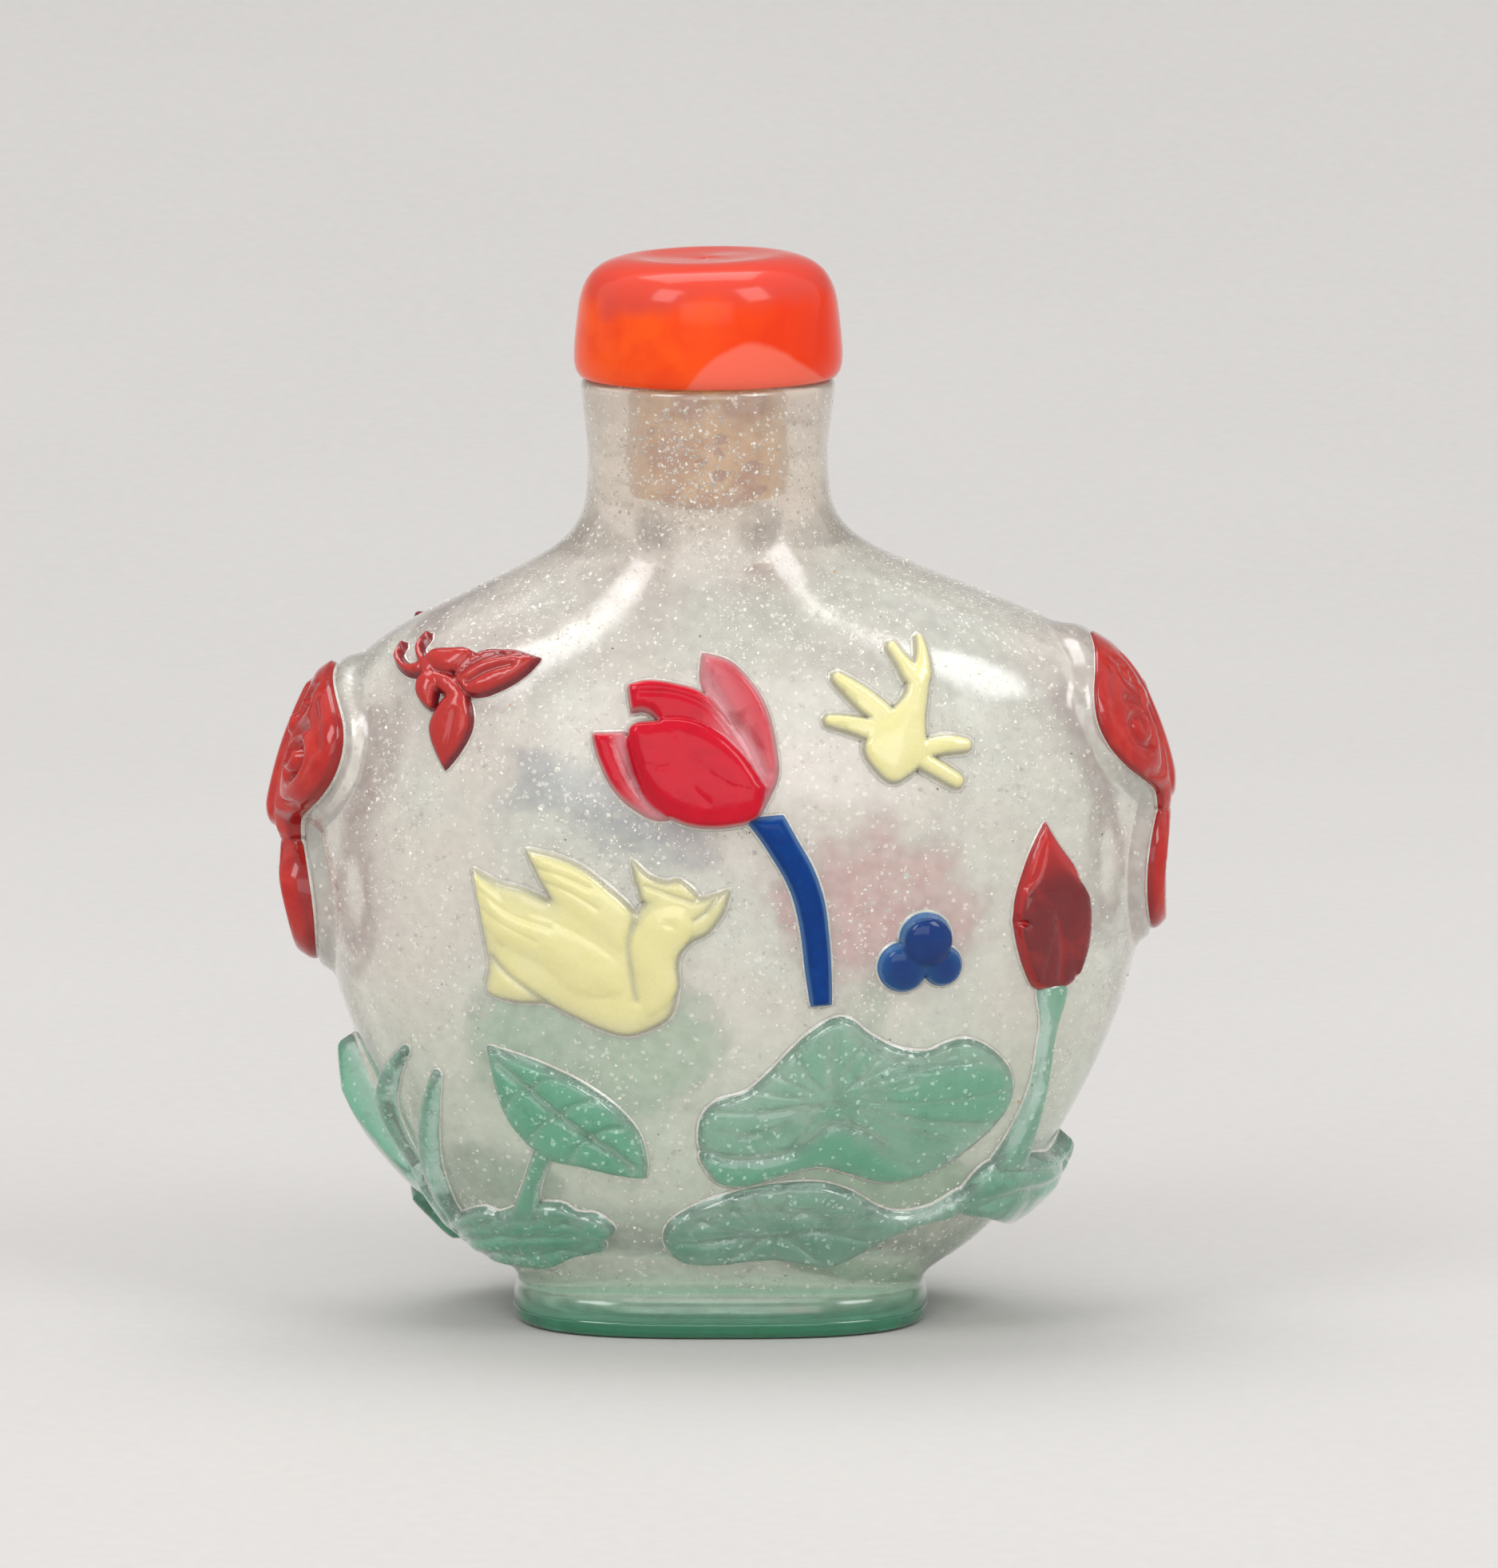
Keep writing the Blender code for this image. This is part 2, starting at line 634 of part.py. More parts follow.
def lotus_bud():
    outline = [
        (20.7, 34.4, TIP), (21.7, 32.9), (23.0, 31.2), (23.8, 29.2), (24.0, 27.3), (23.5, 25.3),
        (22.6, 23.7), (21.3, 23.5), (20.0, 23.7), (19.2, 25.3), (18.6, 27.4), (18.6, 29.4),
        (19.2, 31.4), (19.9, 33.0),
    ]
    ridges = [
        [(21.1, 32.0), (20.1, 29.4), (20.1, 26.8), (20.9, 24.8)],
        [(21.5, 30.6), (22.6, 28.0), (21.9, 25.2)],
    ]
    relief("lotus_bud", "front", [rounded(outline)], 0.0012, "red_glass", grooves=ridges)
    stem = stroke(
        [(21.2, 22.7), (21.2, 21.2), (21.0, 19.6), (20.8, 17.4), (20.3, 15.2), (19.5, 13.0), (18.6, 11.0)],
        [1.7, 1.0, 0.9, 1.0, 1.4, 2.0, 2.6],
    )
    edge_leaf = [
        (20.8, 11.9), (24.5, 11.5), (28.2, 12.3, TIP), (29.2, 11.4), (28.6, 9.6), (26.4, 7.8),
        (23.4, 6.6), (20.6, 6.9), (17.8, 7.8), (15.2, 8.6), (14.0, 9.2), (15.4, 10.0), (17.3, 11.8),
    ]
    low_leaf = [
        (15.4, 10.0), (13.3, 9.0), (11.2, 8.7), (9.6, 9.2), (7.9, 10.3), (5.8, 11.0), (2.8, 10.9),
        (0.2, 10.3), (-2.0, 9.5), (-3.8, 8.2), (-4.0, 6.7), (-2.8, 5.5), (-0.6, 5.3), (1.8, 5.6),
        (3.7, 5.6), (5.6, 5.2), (7.2, 5.2), (10.3, 7.0), (12.5, 7.9), (15.2, 8.5),
    ]

    def share_at(flat):
        return 1 + TIP_LIFT * min(max((flat.x - 21) / 4, 0), 1)

    veins = [[(-2.4, 7.8), (1.2, 8.1), (4.6, 7.6)], [(19.0, 9.6), (22.6, 9.5), (26.6, 10.8)]]
    plant = [stem, rounded(edge_leaf), rounded(low_leaf)]
    relief("bud_plant", "front", plant, 0.0013, "green_glass", grooves=veins, share_at=share_at)


def lotus_leaf():
    outline = [
        (6.6, 22.1), (5.2, 21.3), (3.9, 20.1), (2.4, 18.5), (0.9, 17.2), (-0.9, 16.6), (-1.9, 15.4),
        (-1.9, 13.4), (-0.9, 11.3), (1.0, 11.0), (3.3, 11.7), (5.6, 12.3), (7.6, 11.8), (9.8, 11.1),
        (11.8, 11.3), (13.9, 12.0), (16.0, 13.4), (17.8, 15.0), (18.6, 16.8), (18.3, 18.2),
        (17.0, 19.6), (15.4, 20.4), (14.0, 20.2), (12.6, 19.7), (10.7, 20.0), (8.8, 21.0), (7.6, 22.0),
    ]
    folds = [
        [(-0.9, 12.8), (2.4, 13.0), (5.0, 13.8), (7.0, 14.8), (9.0, 14.0), (11.2, 12.8), (14.4, 13.3)],
        [(11.6, 18.6), (14.2, 19.1), (17.2, 17.9)],
        [(7.2, 20.6), (7.6, 17.8), (7.0, 15.8)],
    ]
    relief("lotus_leaf", "front", [rounded(outline)], 0.0011, "green_glass", grooves=folds)


def left_plant():
    arrow_leaf = [
        (-16.0, 20.0, TIP), (-13.7, 19.4), (-11.7, 18.7), (-9.6, 17.7), (-7.6, 16.3), (-6.1, 14.6),
        (-5.5, 12.7), (-5.5, 11.5, TIP), (-7.4, 11.7), (-9.7, 12.2), (-11.8, 12.6), (-13.3, 13.7),
        (-14.7, 15.4), (-15.5, 17.6),
    ]
    base_leaf = [
        (-20.6, 6.9), (-18.6, 7.9), (-16.3, 8.7), (-13.6, 9.2), (-11.0, 9.3), (-8.9, 8.7), (-7.5, 7.7),
        (-7.9, 6.6), (-9.6, 5.6), (-11.4, 5.0), (-13.8, 4.8), (-16.2, 5.0), (-18.6, 5.8),
    ]
    stem = stroke([(-12.3, 12.9), (-13.0, 10.7), (-13.4, 8.6)], [1.1, 1.1, 1.6])
    blades = [
        stroke(
            [(-31.4, 18.4), (-30.7, 16.6), (-29.4, 14.2), (-27.6, 11.8), (-24.6, 9.2), (-20.8, 7.3)],
            [1.3, 2.2, 2.6, 2.5, 2.3, 2.0],
        ),
        stroke(
            [(-22.2, 19.3), (-23.9, 17.3), (-25.0, 14.8), (-24.6, 12.6), (-23.2, 9.6)],
            [0.5, 1.4, 1.5, 1.3, 1.4],
        ),
        stroke(
            [(-19.8, 17.9), (-20.4, 15.7), (-20.9, 13.2), (-21.0, 10.8), (-20.4, 8.2), (-19.6, 7.0)],
            [0.5, 1.2, 1.6, 1.8, 1.8, 1.8],
        ),
    ]

    def share_at(flat):
        return 1 + BLADE_LIFT * min(max((-24 - flat.x) / 5, 0), (20 - flat.y) / 4, 1)

    veins = [[(-14.9, 18.8), (-11.2, 15.3), (-7.0, 12.5)]]
    plant = [rounded(arrow_leaf), rounded(base_leaf), stem] + blades
    relief("left_plant", "front", plant, 0.0011, "green_glass", rim=0.8, grooves=veins, share_at=share_at)


# Back overlays, plainer


def back_overlays():
    def petal(centre, lean, length, width):
        way = Vector((math.sin(lean), math.cos(lean)))
        aside = Vector((way.y, -way.x))
        reach = [(0, 0.2), (0.3, 0.9), (0.62, 0.85), (1, 0), (0.62, -0.85), (0.3, -0.9), (0, -0.2)]
        points = [Vector(centre) + way * length * along + aside * width / 2 * out for along, out in reach]
        return rounded([(*point, TIP) if i == 3 else (*point,) for i, point in enumerate(points)])

    root = (-10.2, 21.8)
    spread = ((-1.05, 9.2), (-0.5, 9.4), (0.0, 9.8), (0.5, 9.4), (1.05, 9.2))
    fan = [petal(root, lean, length, 5.0) for lean, length in spread]
    relief("back_lotus_flower", "back", fan, 0.0013, "ruby_glass")
    stem = stroke(
        [(-10.1, 20.2), (-9.2, 17.5), (-9.0, 13.5), (-9.8, 9.6), (-10.2, 8.0)],
        [1.5, 1.4, 1.4, 1.6, 2.4],
    )
    low_leaf = [
        (-19.5, 6.4), (-17.0, 8.6), (-13.0, 9.6), (-9.0, 9.4), (-5.4, 8.6), (-3.4, 6.8), (-5.0, 5.0),
        (-9.0, 4.6), (-13.5, 4.3), (-17.5, 4.6),
    ]
    relief("back_stem_plant", "back", [stem, rounded(low_leaf)], 0.0012, "green_glass")
    fish = stroke(
        [(1.2, 28.2), (3.0, 29.3), (6.0, 30.8), (9.0, 32.0), (11.8, 33.2)],
        [1.2, 3.2, 4.4, 3.6, 1.6],
    )
    tails = [
        stroke([(11.2, 33.0), (13.4, 34.6), (15.2, 36.2)], [1.6, 1.8, 0.8]),
        stroke([(11.2, 32.8), (13.6, 32.8), (15.8, 32.2)], [1.6, 1.8, 0.8]),
    ]
    relief("back_fish", "back", [fish] + tails, 0.0012, "blue_glass")
    leaf = [
        (1.0, 16.8), (4.0, 19.5), (8.0, 20.4), (12.0, 19.7), (15.8, 20.0), (18.4, 17.6), (17.4, 14.6),
        (14.4, 12.9), (11.4, 13.7), (8.0, 12.3), (4.0, 12.7), (1.5, 14.4),
    ]
    vein = [(3.4, 16.4), (9.0, 16.8), (15.6, 16.2)]
    relief("back_lotus_leaf", "back", [rounded(leaf)], 0.0012, "green_glass", grooves=[vein])
    # This leaf is counted from the front, so that it keeps its distance from the blades there. It turns
    # the sharp side of the bottle, so its flat facets need more room under them.
    side_leaf = [
        (-35.9, 7.3), (-35.8, 8.8), (-34.1, 9.9), (-30.6, 9.9), (-26.4, 8.7, TIP), (-25.9, 7.4),
        (-25.0, 6.1), (-25.5, 5.4), (-29.5, 5.6),
    ]
    room = SEAT_GAP * 1.6
    relief("back_side_leaf", "front", [rounded(side_leaf)], 0.0019, "green_glass", rim=0.9, base=room)
    moth = [
        stroke([(18.8, 44.6), (17.9, 42.6), (16.9, 40.6)], [1.6, 2.2, 0.9]),
        stroke([(18.2, 43.2), (20.3, 44.3), (22.0, 45.5)], [1.6, 2.2, 0.7]),
        stroke([(18.0, 43.0), (15.4, 44.4), (12.8, 44.6)], [1.6, 2.2, 0.7]),
    ]
    relief("back_moth", "back", moth, 0.0010, "red_glass")


def clear():
    for old in list(bpy.data.objects):
        bpy.data.objects.remove(old)


clear()
bottle()
foot()
cap()
cork()
handle("left", top=42.7, pad_height=0.0008, height=0.0026, brow=0.45)
handle("right", top=44.8, pad_height=0.0007, height=0.0013, brow=0.2)
butterfly()
lotus_flower()
goldfish()
bird()
berry_cluster()
lotus_bud()
lotus_leaf()
left_plant()
back_overlays()
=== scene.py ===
"""The look of the overlay glass snuff bottle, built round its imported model.

Metres, +Z up, the decorated front along -Y. A place on the glass is (u, z): u is the distance round the
section at height z, counted from the middle of the front, the back or a narrow side, positive to the
right of someone facing that side. The overlays are drawn in millimetres of u and z.
"""

import math

import bpy
import numpy as np
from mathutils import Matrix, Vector
from mathutils.geometry import delaunay_2d_cdt


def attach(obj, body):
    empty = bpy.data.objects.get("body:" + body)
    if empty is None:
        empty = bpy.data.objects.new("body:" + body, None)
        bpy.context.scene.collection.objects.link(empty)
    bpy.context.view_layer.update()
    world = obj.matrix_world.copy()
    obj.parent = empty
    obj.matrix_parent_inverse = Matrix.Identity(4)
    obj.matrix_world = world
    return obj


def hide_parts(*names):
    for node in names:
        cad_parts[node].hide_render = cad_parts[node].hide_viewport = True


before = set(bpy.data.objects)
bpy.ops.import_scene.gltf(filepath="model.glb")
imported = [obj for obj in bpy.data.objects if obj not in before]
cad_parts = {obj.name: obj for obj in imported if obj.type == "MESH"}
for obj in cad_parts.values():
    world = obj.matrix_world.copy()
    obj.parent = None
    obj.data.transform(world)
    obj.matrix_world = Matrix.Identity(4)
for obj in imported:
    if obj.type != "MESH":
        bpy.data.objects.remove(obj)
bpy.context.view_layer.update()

MM = 0.001
rng = np.random.default_rng(11)

# Bottle, as in the model

LIP_HEIGHT = 0.0623
LIP_WIDTH = 0.0166
LIP_ROUND = 0.0006
NECK_WIDTH = 0.0157
NECK_HEIGHT = 0.0560
NECK_LEAN = -0.0008
BELLY_WIDTH = 0.0544
BELLY_DEPTH = 0.0284
BELLY_HEIGHT = 0.0304
BELLY_LEAN = 0.0008
BELLY_SQUARENESS = 2.25
WAIST_WIDTH = 0.0264
WAIST_DEPTH = 0.0174
WAIST_HEIGHT = 0.0028
BORE = 0.0068
SIDE_WALL = 0.0034
FACE_WALL = 0.0030
CAVITY_FLOOR = 0.0062
CAVITY_ROOF = 0.0500
FOOT_WIDTH = 0.0273
FOOT_DEPTH = 0.0184
FOOT_HEIGHT = 0.0011
FOOT_SQUARENESS = 2.8
FOOT_RING_WIDTH = 0.0030
CAP_WIDTH = 0.0175
CAP_HEIGHT = 0.0076
CORK_LENGTH = 0.0084
SEAT_GAP = 0.0003

# Height share, then half width and half depth as shares of the way from the slim end to the belly
LOWER_FORM = [
    (0.000, 0.00, 0.00), (0.030, 0.04, 0.03), (0.063, 0.15, 0.09), (0.125, 0.29, 0.23),
    (0.235, 0.46, 0.49), (0.370, 0.62, 0.70), (0.555, 0.80, 0.88), (0.745, 0.93, 0.97),
]
UPPER_FORM = [
    (0.00, 1.00, 1.00), (0.24, 0.99, 0.91), (0.38, 0.95, 0.76), (0.47, 0.905, 0.64),
    (0.54, 0.83, 0.54), (0.61, 0.69, 0.42), (0.68, 0.49, 0.29), (0.74, 0.31, 0.18),
    (0.80, 0.14, 0.10), (0.87, 0.04, 0.04), (1.00, 0.00, 0.00),
]
LOWER_CAVITY = [
    (0.00, 0.46, 0.52), (0.05, 0.60, 0.67), (0.16, 0.72, 0.79), (0.36, 0.85, 0.90), (0.60, 0.95, 0.97),
]
UPPER_CAVITY = [
    (0.00, 1.00, 1.00), (0.30, 0.98, 0.92), (0.50, 0.92, 0.78), (0.62, 0.80, 0.66),
    (0.74, 0.52, 0.50), (0.85, 0.24, 0.30), (1.00, 0.00, 0.00),
]


def stretch(form, start, end, slim, full):
    rows = []
    for rise, wide, deep in form:
        shares = (wide, deep, 1 - (1 - wide) ** 2, wide)
        size = [low + share * (high - low) for low, high, share in zip(slim, full, shares)]
        rows.append([start + rise * (end - start)] + size)
    return rows


belly = (BELLY_WIDTH / 2, BELLY_DEPTH / 2, BELLY_LEAN, BELLY_SQUARENESS)
waist = (WAIST_WIDTH / 2, WAIST_DEPTH / 2, 0, FOOT_SQUARENESS)
neck = (NECK_WIDTH / 2, NECK_WIDTH / 2, NECK_LEAN, 2)
lip = (LIP_WIDTH / 2, LIP_WIDTH / 2, NECK_LEAN, 2)
bore = (BORE / 2, BORE / 2, NECK_LEAN, 2)
cavity = (BELLY_WIDTH / 2 - SIDE_WALL, BELLY_DEPTH / 2 - FACE_WALL, BELLY_LEAN, BELLY_SQUARENESS)
flange = (FOOT_WIDTH / 2, FOOT_DEPTH / 2, 0, FOOT_SQUARENESS)
OUTSIDE = np.array(
    [(FOOT_HEIGHT + SEAT_GAP, *flange)]
    + stretch(LOWER_FORM, WAIST_HEIGHT, BELLY_HEIGHT, waist, belly)
    + stretch(UPPER_FORM, BELLY_HEIGHT, NECK_HEIGHT, neck, belly)
    + [(LIP_HEIGHT - LIP_ROUND, *lip)]
)
INSIDE = np.array(
    stretch(LOWER_CAVITY, CAVITY_FLOOR, BELLY_HEIGHT, bore, cavity)
    + stretch(UPPER_CAVITY, BELLY_HEIGHT, CAVITY_ROOF, bore, cavity)
)


def curve_at(rows, z):
    """The rows' sizes at the heights z, from a smooth curve through them."""
    heights, sizes = rows[:, 0], rows[:, 1:]
    z = np.clip(z, heights[0], heights[-1])
    i = np.clip(np.searchsorted(heights, z) - 1, 0, len(heights) - 2)
    step = np.diff(heights)[:, None]
    slopes = np.diff(sizes, axis=0) / step
    t = (z - heights[i])[:, None] / step[i]
    enter = (slopes[np.maximum(i - 1, 0)] + slopes[i]) / 2 * step[i]
    leave = (slopes[i] + slopes[np.minimum(i + 1, len(slopes) - 1)]) / 2 * step[i]
    between = (2 * t**3 - 3 * t**2 + 1) * sizes[i] + (3 * t**2 - 2 * t**3) * sizes[i + 1]
    return between + (t**3 - 2 * t**2 + t) * enter + (t**3 - t**2) * leave


def softened(sizes, reach):
    """Sizes smoothed along the height, over about reach rows each way."""
    offsets = np.arange(-3 * reach, 3 * reach + 1)
    weights = np.exp(-((offsets / reach) ** 2) / 2)
    padded = np.pad(sizes, ((3 * reach, 3 * reach), (0, 0)), mode="reflect", reflect_type="odd")
    return np.stack([np.convolve(column, weights / weights.sum(), "valid") for column in padded.T], axis=1)


SECTION_STEPS = 2880
TURN = np.linspace(0, 2 * math.pi, SECTION_STEPS + 1)


def ring(size, z, shares):
    """Points of an oval section at shares of its girth, from the middle of the front towards +X."""
    half_width, half_depth, lean, squareness = size
    across, along = np.sin(TURN), -np.cos(TURN)
    x = half_width * np.sign(across) * np.abs(across) ** (2 / squareness) + lean
    y = half_depth * np.sign(along) * np.abs(along) ** (2 / squareness)
    run = np.concatenate([[0], np.cumsum(np.hypot(np.diff(x), np.diff(y)))])
    at = shares * run[-1]
    return np.stack([np.interp(at, run, x), np.interp(at, run, y), np.full(len(at), z)], axis=1), run[-1]


# The glass as a table over height and share of the girth, with its normals

COLUMNS = 1440
Z_STEP = 0.00015
SMOOTH_ROWS = 4
Z_GRID = np.arange(OUTSIDE[0, 0], OUTSIDE[-1, 0] + Z_STEP, Z_STEP)
SIZES = softened(curve_at(OUTSIDE, Z_GRID), SMOOTH_ROWS)
rings = [ring(size, z, np.arange(COLUMNS) / COLUMNS) for size, z in zip(SIZES, Z_GRID)]
POINTS = np.array([points for points, _ in rings])
GIRTH = np.array([total for _, total in rings])
round_way = np.roll(POINTS, -1, axis=1) - np.roll(POINTS, 1, axis=1)
NORMALS = np.cross(round_way, np.gradient(POINTS, axis=0))
NORMALS /= np.linalg.norm(NORMALS, axis=2, keepdims=True)
SIDES = {"front": 0, "right": 0.25, "back": 0.5, "left": 0.75}


def girth(z):
    return np.interp(z, Z_GRID, GIRTH)


def at_share(share, z, lift=0.0):
    """Points lift above the glass at shares of the girth and heights z."""
    row = np.clip((z - Z_GRID[0]) / Z_STEP, 0, len(Z_GRID) - 1.001)
    column = share % 1 * COLUMNS
    r, c = row.astype(int), column.astype(int) % COLUMNS
    f, g = (row - r)[:, None], (column - np.floor(column))[:, None]
    d = (c + 1) % COLUMNS

    def read(table):
        low = table[r, c] * (1 - g) + table[r, d] * g
        high = table[r + 1, c] * (1 - g) + table[r + 1, d] * g
        return low * (1 - f) + high * f

    point = read(POINTS)
    point[:, 2] = z
    return point + read(NORMALS) * np.reshape(lift, (-1, 1))


def on_glass(face, u, z, lift=0.0):
    u, z = np.asarray(u, float), np.asarray(z, float)
    return at_share(u / girth(z) + SIDES[face], z, lift)


# Colours and materials


def srgb(red, green, blue):
    """A linear colour from a screen colour in 0 to 255."""
    values = np.array([red, green, blue]) / 255
    linear = np.where(values <= 0.04045, values / 12.92, ((values + 0.055) / 1.055) ** 2.4)
    return (*linear.tolist(), 1)


SIDE_GREEN = srgb(18, 120, 86)
# The glass's tints by height: where one starts and is full, its share there, and its colour
GLASS_TINTS = [
    (0.048, 0.055, 0.6, srgb(250, 230, 212)), (0.027, 0.013, 0.8, srgb(226, 238, 220)),
    (0.0060, 0.0028, 0.6, srgb(172, 214, 184)),
]
# Heights where the foot's green starts and is full, where chips start, and where the neck grows clearer
FOOT_TINT = (0.0029, 0.0014)
CHIP_START = (0.0024, 0.0036)
CLEAR_NECK = (0.047, 0.055)
# The pale arch on the cap's front
ARCH_MIDDLE = 0.0022
ARCH_HALF = 0.0062
ARCH_TOP = LIP_HEIGHT + 0.0031
ARCH_FALL = 0.0052
CAP_CROWN = (LIP_HEIGHT + 0.0046, LIP_HEIGHT + 0.0064)
# The colour sockets of a Mix node
MIX_A, MIX_B, MIX_RESULT = 6, 7, 2


class Look:
    """A procedural material: one Principled BSDF and helpers to add the nodes that feed it."""

    def __init__(self, name, **values):
        self.material = bpy.data.materials.new(name)
        self.material.use_nodes = True
        self.nodes = self.material.node_tree.nodes
        self.links = self.material.node_tree.links
        self.shader = self.nodes["Principled BSDF"]
        self.where = self.nodes.new("ShaderNodeTexCoord").outputs["Object"]
        for socket, value in values.items():
            self.shader.inputs[socket.replace("_", " ")].default_value = value

    def join(self, source, socket):
        if isinstance(source, (int, float, tuple)):
            socket.default_value = source
        else:
            self.links.new(source, socket)

    def node(self, kind, output, settings=None, **inputs):
        """An output of a new node with these settings, its inputs given as values or as other outputs."""
        node = self.nodes.new("ShaderNode" + kind)
        for name, value in (settings or {}).items():
            setattr(node, name, value)
        for name, value in inputs.items():
            self.join(value, node.inputs[name.replace("_", " ")])
        return node.outputs[output]

    def noise(self, size, detail=3.0, rough=0.55, warp=0.0, stretch_by=None):
        """Noise of about this feature size in metres."""
        where = self.node("Mapping", "Vector", Scale=stretch_by, Vector=self.where) if stretch_by else self.where
        return self.node(
            "TexNoise", "Fac", Scale=1 / size, Detail=detail, Roughness=rough, Distortion=warp, Vector=where
        )

    def chips(self, size, share, edge=0.12, crowd=None):
        """1 inside a share of the angular cells of this size, fewer where crowd is low, 0 elsewhere."""
        cells = {"Scale": 1 / size, "Vector": self.where}
        colour = self.node("TexVoronoi", "Color", {"feature": "F1"}, **cells)
        gap = self.node("TexVoronoi", "Distance", {"feature": "DISTANCE_TO_EDGE"}, **cells)
        least = self.math("SUBTRACT", 1.0, self.math("MULTIPLY", crowd, share)) if crowd else 1 - share
        chosen = self.math("GREATER_THAN", self.node("SeparateColor", "Red", Color=colour), least)
        return self.math("MULTIPLY", chosen, self.ramp(gap, edge * 0.6, edge))

    def fact(self, name):
        return self.node("Attribute", "Fac", {"attribute_name": name})

    def place(self, axis):
        return self.node("SeparateXYZ", axis, Vector=self.where)

    def turned(self, start, end):
        """0 where the surface faces the eye, 1 where it turns away."""
        return self.ramp(self.node("LayerWeight", "Facing"), start, end)

    def math(self, operation, a, b=0.0):
        node = self.nodes.new("ShaderNodeMath")
        node.operation = operation
        self.join(a, node.inputs[0])
        self.join(b, node.inputs[1])
        return node.outputs["Value"]

    def ramp(self, source, start, end, low=0.0, high=1.0):
        """A smooth step from low to high as source goes from start to end."""
        smooth = {"interpolation_type": "SMOOTHSTEP"}
        return self.node(
            "MapRange", "Result", smooth, Value=source, From_Min=start, From_Max=end, To_Min=low, To_Max=high
        )

    def mix(self, share, a, b):
        node = self.nodes.new("ShaderNodeMix")
        node.data_type = "RGBA"
        self.join(share, node.inputs[0])
        self.join(a, node.inputs[MIX_A])
        self.join(b, node.inputs[MIX_B])
        return node.outputs[MIX_RESULT]

    def colour(self, source):
        self.join(source, self.shader.inputs["Base Color"])

    def bump(self, height, depth, strength=1.0, before=None):
        chain = {"Normal": before} if before else {}
        normal = self.node("Bump", "Normal", Distance=depth, Strength=strength, Height=height, **chain)
        self.join(normal, self.shader.inputs["Normal"])
        return normal

    def dull(self, source, start, end, low, high):
        self.join(self.ramp(source, start, end, low, high), self.shader.inputs["Roughness"])


TURNED_AWAY = (0.45, 0.9)


def overlay_look(
    name, thin, deep, pale, streak, clear=(0.0, 0.0), rough=0.2, coat_rough=0.05, specks=0.0,
    thick=(0.3, 0.85), gloss=0.5, coat=1.0, patchy=0.55, edging=0.9, ripple=0.00016, cuts=0.000015, side=None,
):
    """Coloured glass: thin and deep colours and clearness by thickness, a pale rim, streaks and specks."""
    look = Look(name, IOR=1.5, Specular_IOR_Level=gloss, Coat_Weight=coat, Coat_Roughness=coat_rough)
    body = look.mix(look.ramp(look.fact("thick"), *thick), thin, deep)
    body = look.mix(look.ramp(look.noise(0.0022, 4, 0.6, 0.6), 0.42, 0.74, 0.0, patchy), body, streak)
    see = clear[0] if clear[0] == clear[1] else look.ramp(look.fact("thick"), *thick, *clear)
    if specks:
        crowd = look.ramp(look.noise(0.004, 3), 0.35, 0.65, 0.3, 1.0)
        spots = look.chips(0.00027, specks, crowd=crowd)
        body = look.mix(look.math("MULTIPLY", spots, 0.5), body, pale)
        see = look.math("MULTIPLY", look.math("SUBTRACT", 1.0, look.math("MULTIPLY", spots, 0.35)), see)
    if side:
        body = look.mix(look.turned(*TURNED_AWAY), body, side)
    look.join(see, look.shader.inputs["Transmission Weight"])
    look.colour(look.mix(look.ramp(look.fact("edge"), 0.25, 1.0, 0.0, edging), body, pale))
    look.dull(look.noise(0.0006, 2), 0.3, 0.7, rough * 0.75, rough * 1.3)
    first = look.bump(look.noise(0.0016, 2), ripple, 0.5)
    look.bump(look.noise(0.0003, 3, 0.6), cuts, 0.6, before=first)
    return look.material


def body_look():
    look = Look("snow_glass_outside", IOR=1.5, Roughness=0.17, Coat_Weight=0.9, Coat_Roughness=0.14)
    drift = look.noise(0.011, 1)
    tint = look.mix(look.ramp(drift, 0.40, 0.60), srgb(250, 251, 240), srgb(255, 247, 238))
    for start, full, share, colour in GLASS_TINTS:
        tint = look.mix(look.ramp(look.place("Z"), start, full, 0.0, share), tint, colour)
    foot_green = look.ramp(look.place("Z"), *FOOT_TINT)
    tint = look.mix(foot_green, tint, look.mix(look.turned(*TURNED_AWAY), srgb(90, 196, 154), SIDE_GREEN))
    crowd = look.ramp(look.noise(0.0036, 1), 0.36, 0.64, 0.2, 1.0)
    above_foot = look.ramp(look.place("Z"), *CHIP_START)
    spots = look.math("MULTIPLY", look.chips(0.00026, 0.1, crowd=crowd), above_foot)
    look.colour(look.mix(look.math("MULTIPLY", spots, 0.7), tint, srgb(240, 236, 227)))
    clear = look.ramp(look.noise(0.0009, 1), 0.25, 0.75, 0.62, 0.70)
    thinner = look.math("MAXIMUM", foot_green, look.ramp(look.place("Z"), *CLEAR_NECK, 0.0, 0.4))
    clear = look.math("ADD", clear, look.math("MULTIPLY", thinner, 0.22))
    clear = look.math("SUBTRACT", clear, look.math("MULTIPLY", spots, 0.26))
    look.join(clear, look.shader.inputs["Transmission Weight"])
    wavy = look.bump(look.noise(0.0032, 1), 0.00022, 0.5)
    look.bump(look.noise(0.0007, 1), 0.00003, 0.5, before=wavy)
    return look.material


def inner_look():
    look = Look("snow_glass_inside", IOR=1.5, Transmission_Weight=0.97)
    look.colour(look.mix(look.ramp(look.noise(0.004, 1), 0.4, 0.7), srgb(250, 250, 247), srgb(240, 240, 236)))
    look.dull(look.noise(0.002, 1), 0.35, 0.65, 0.16, 0.28)
    look.bump(look.noise(0.0028, 1), 0.00025, 0.6)
    return look.material


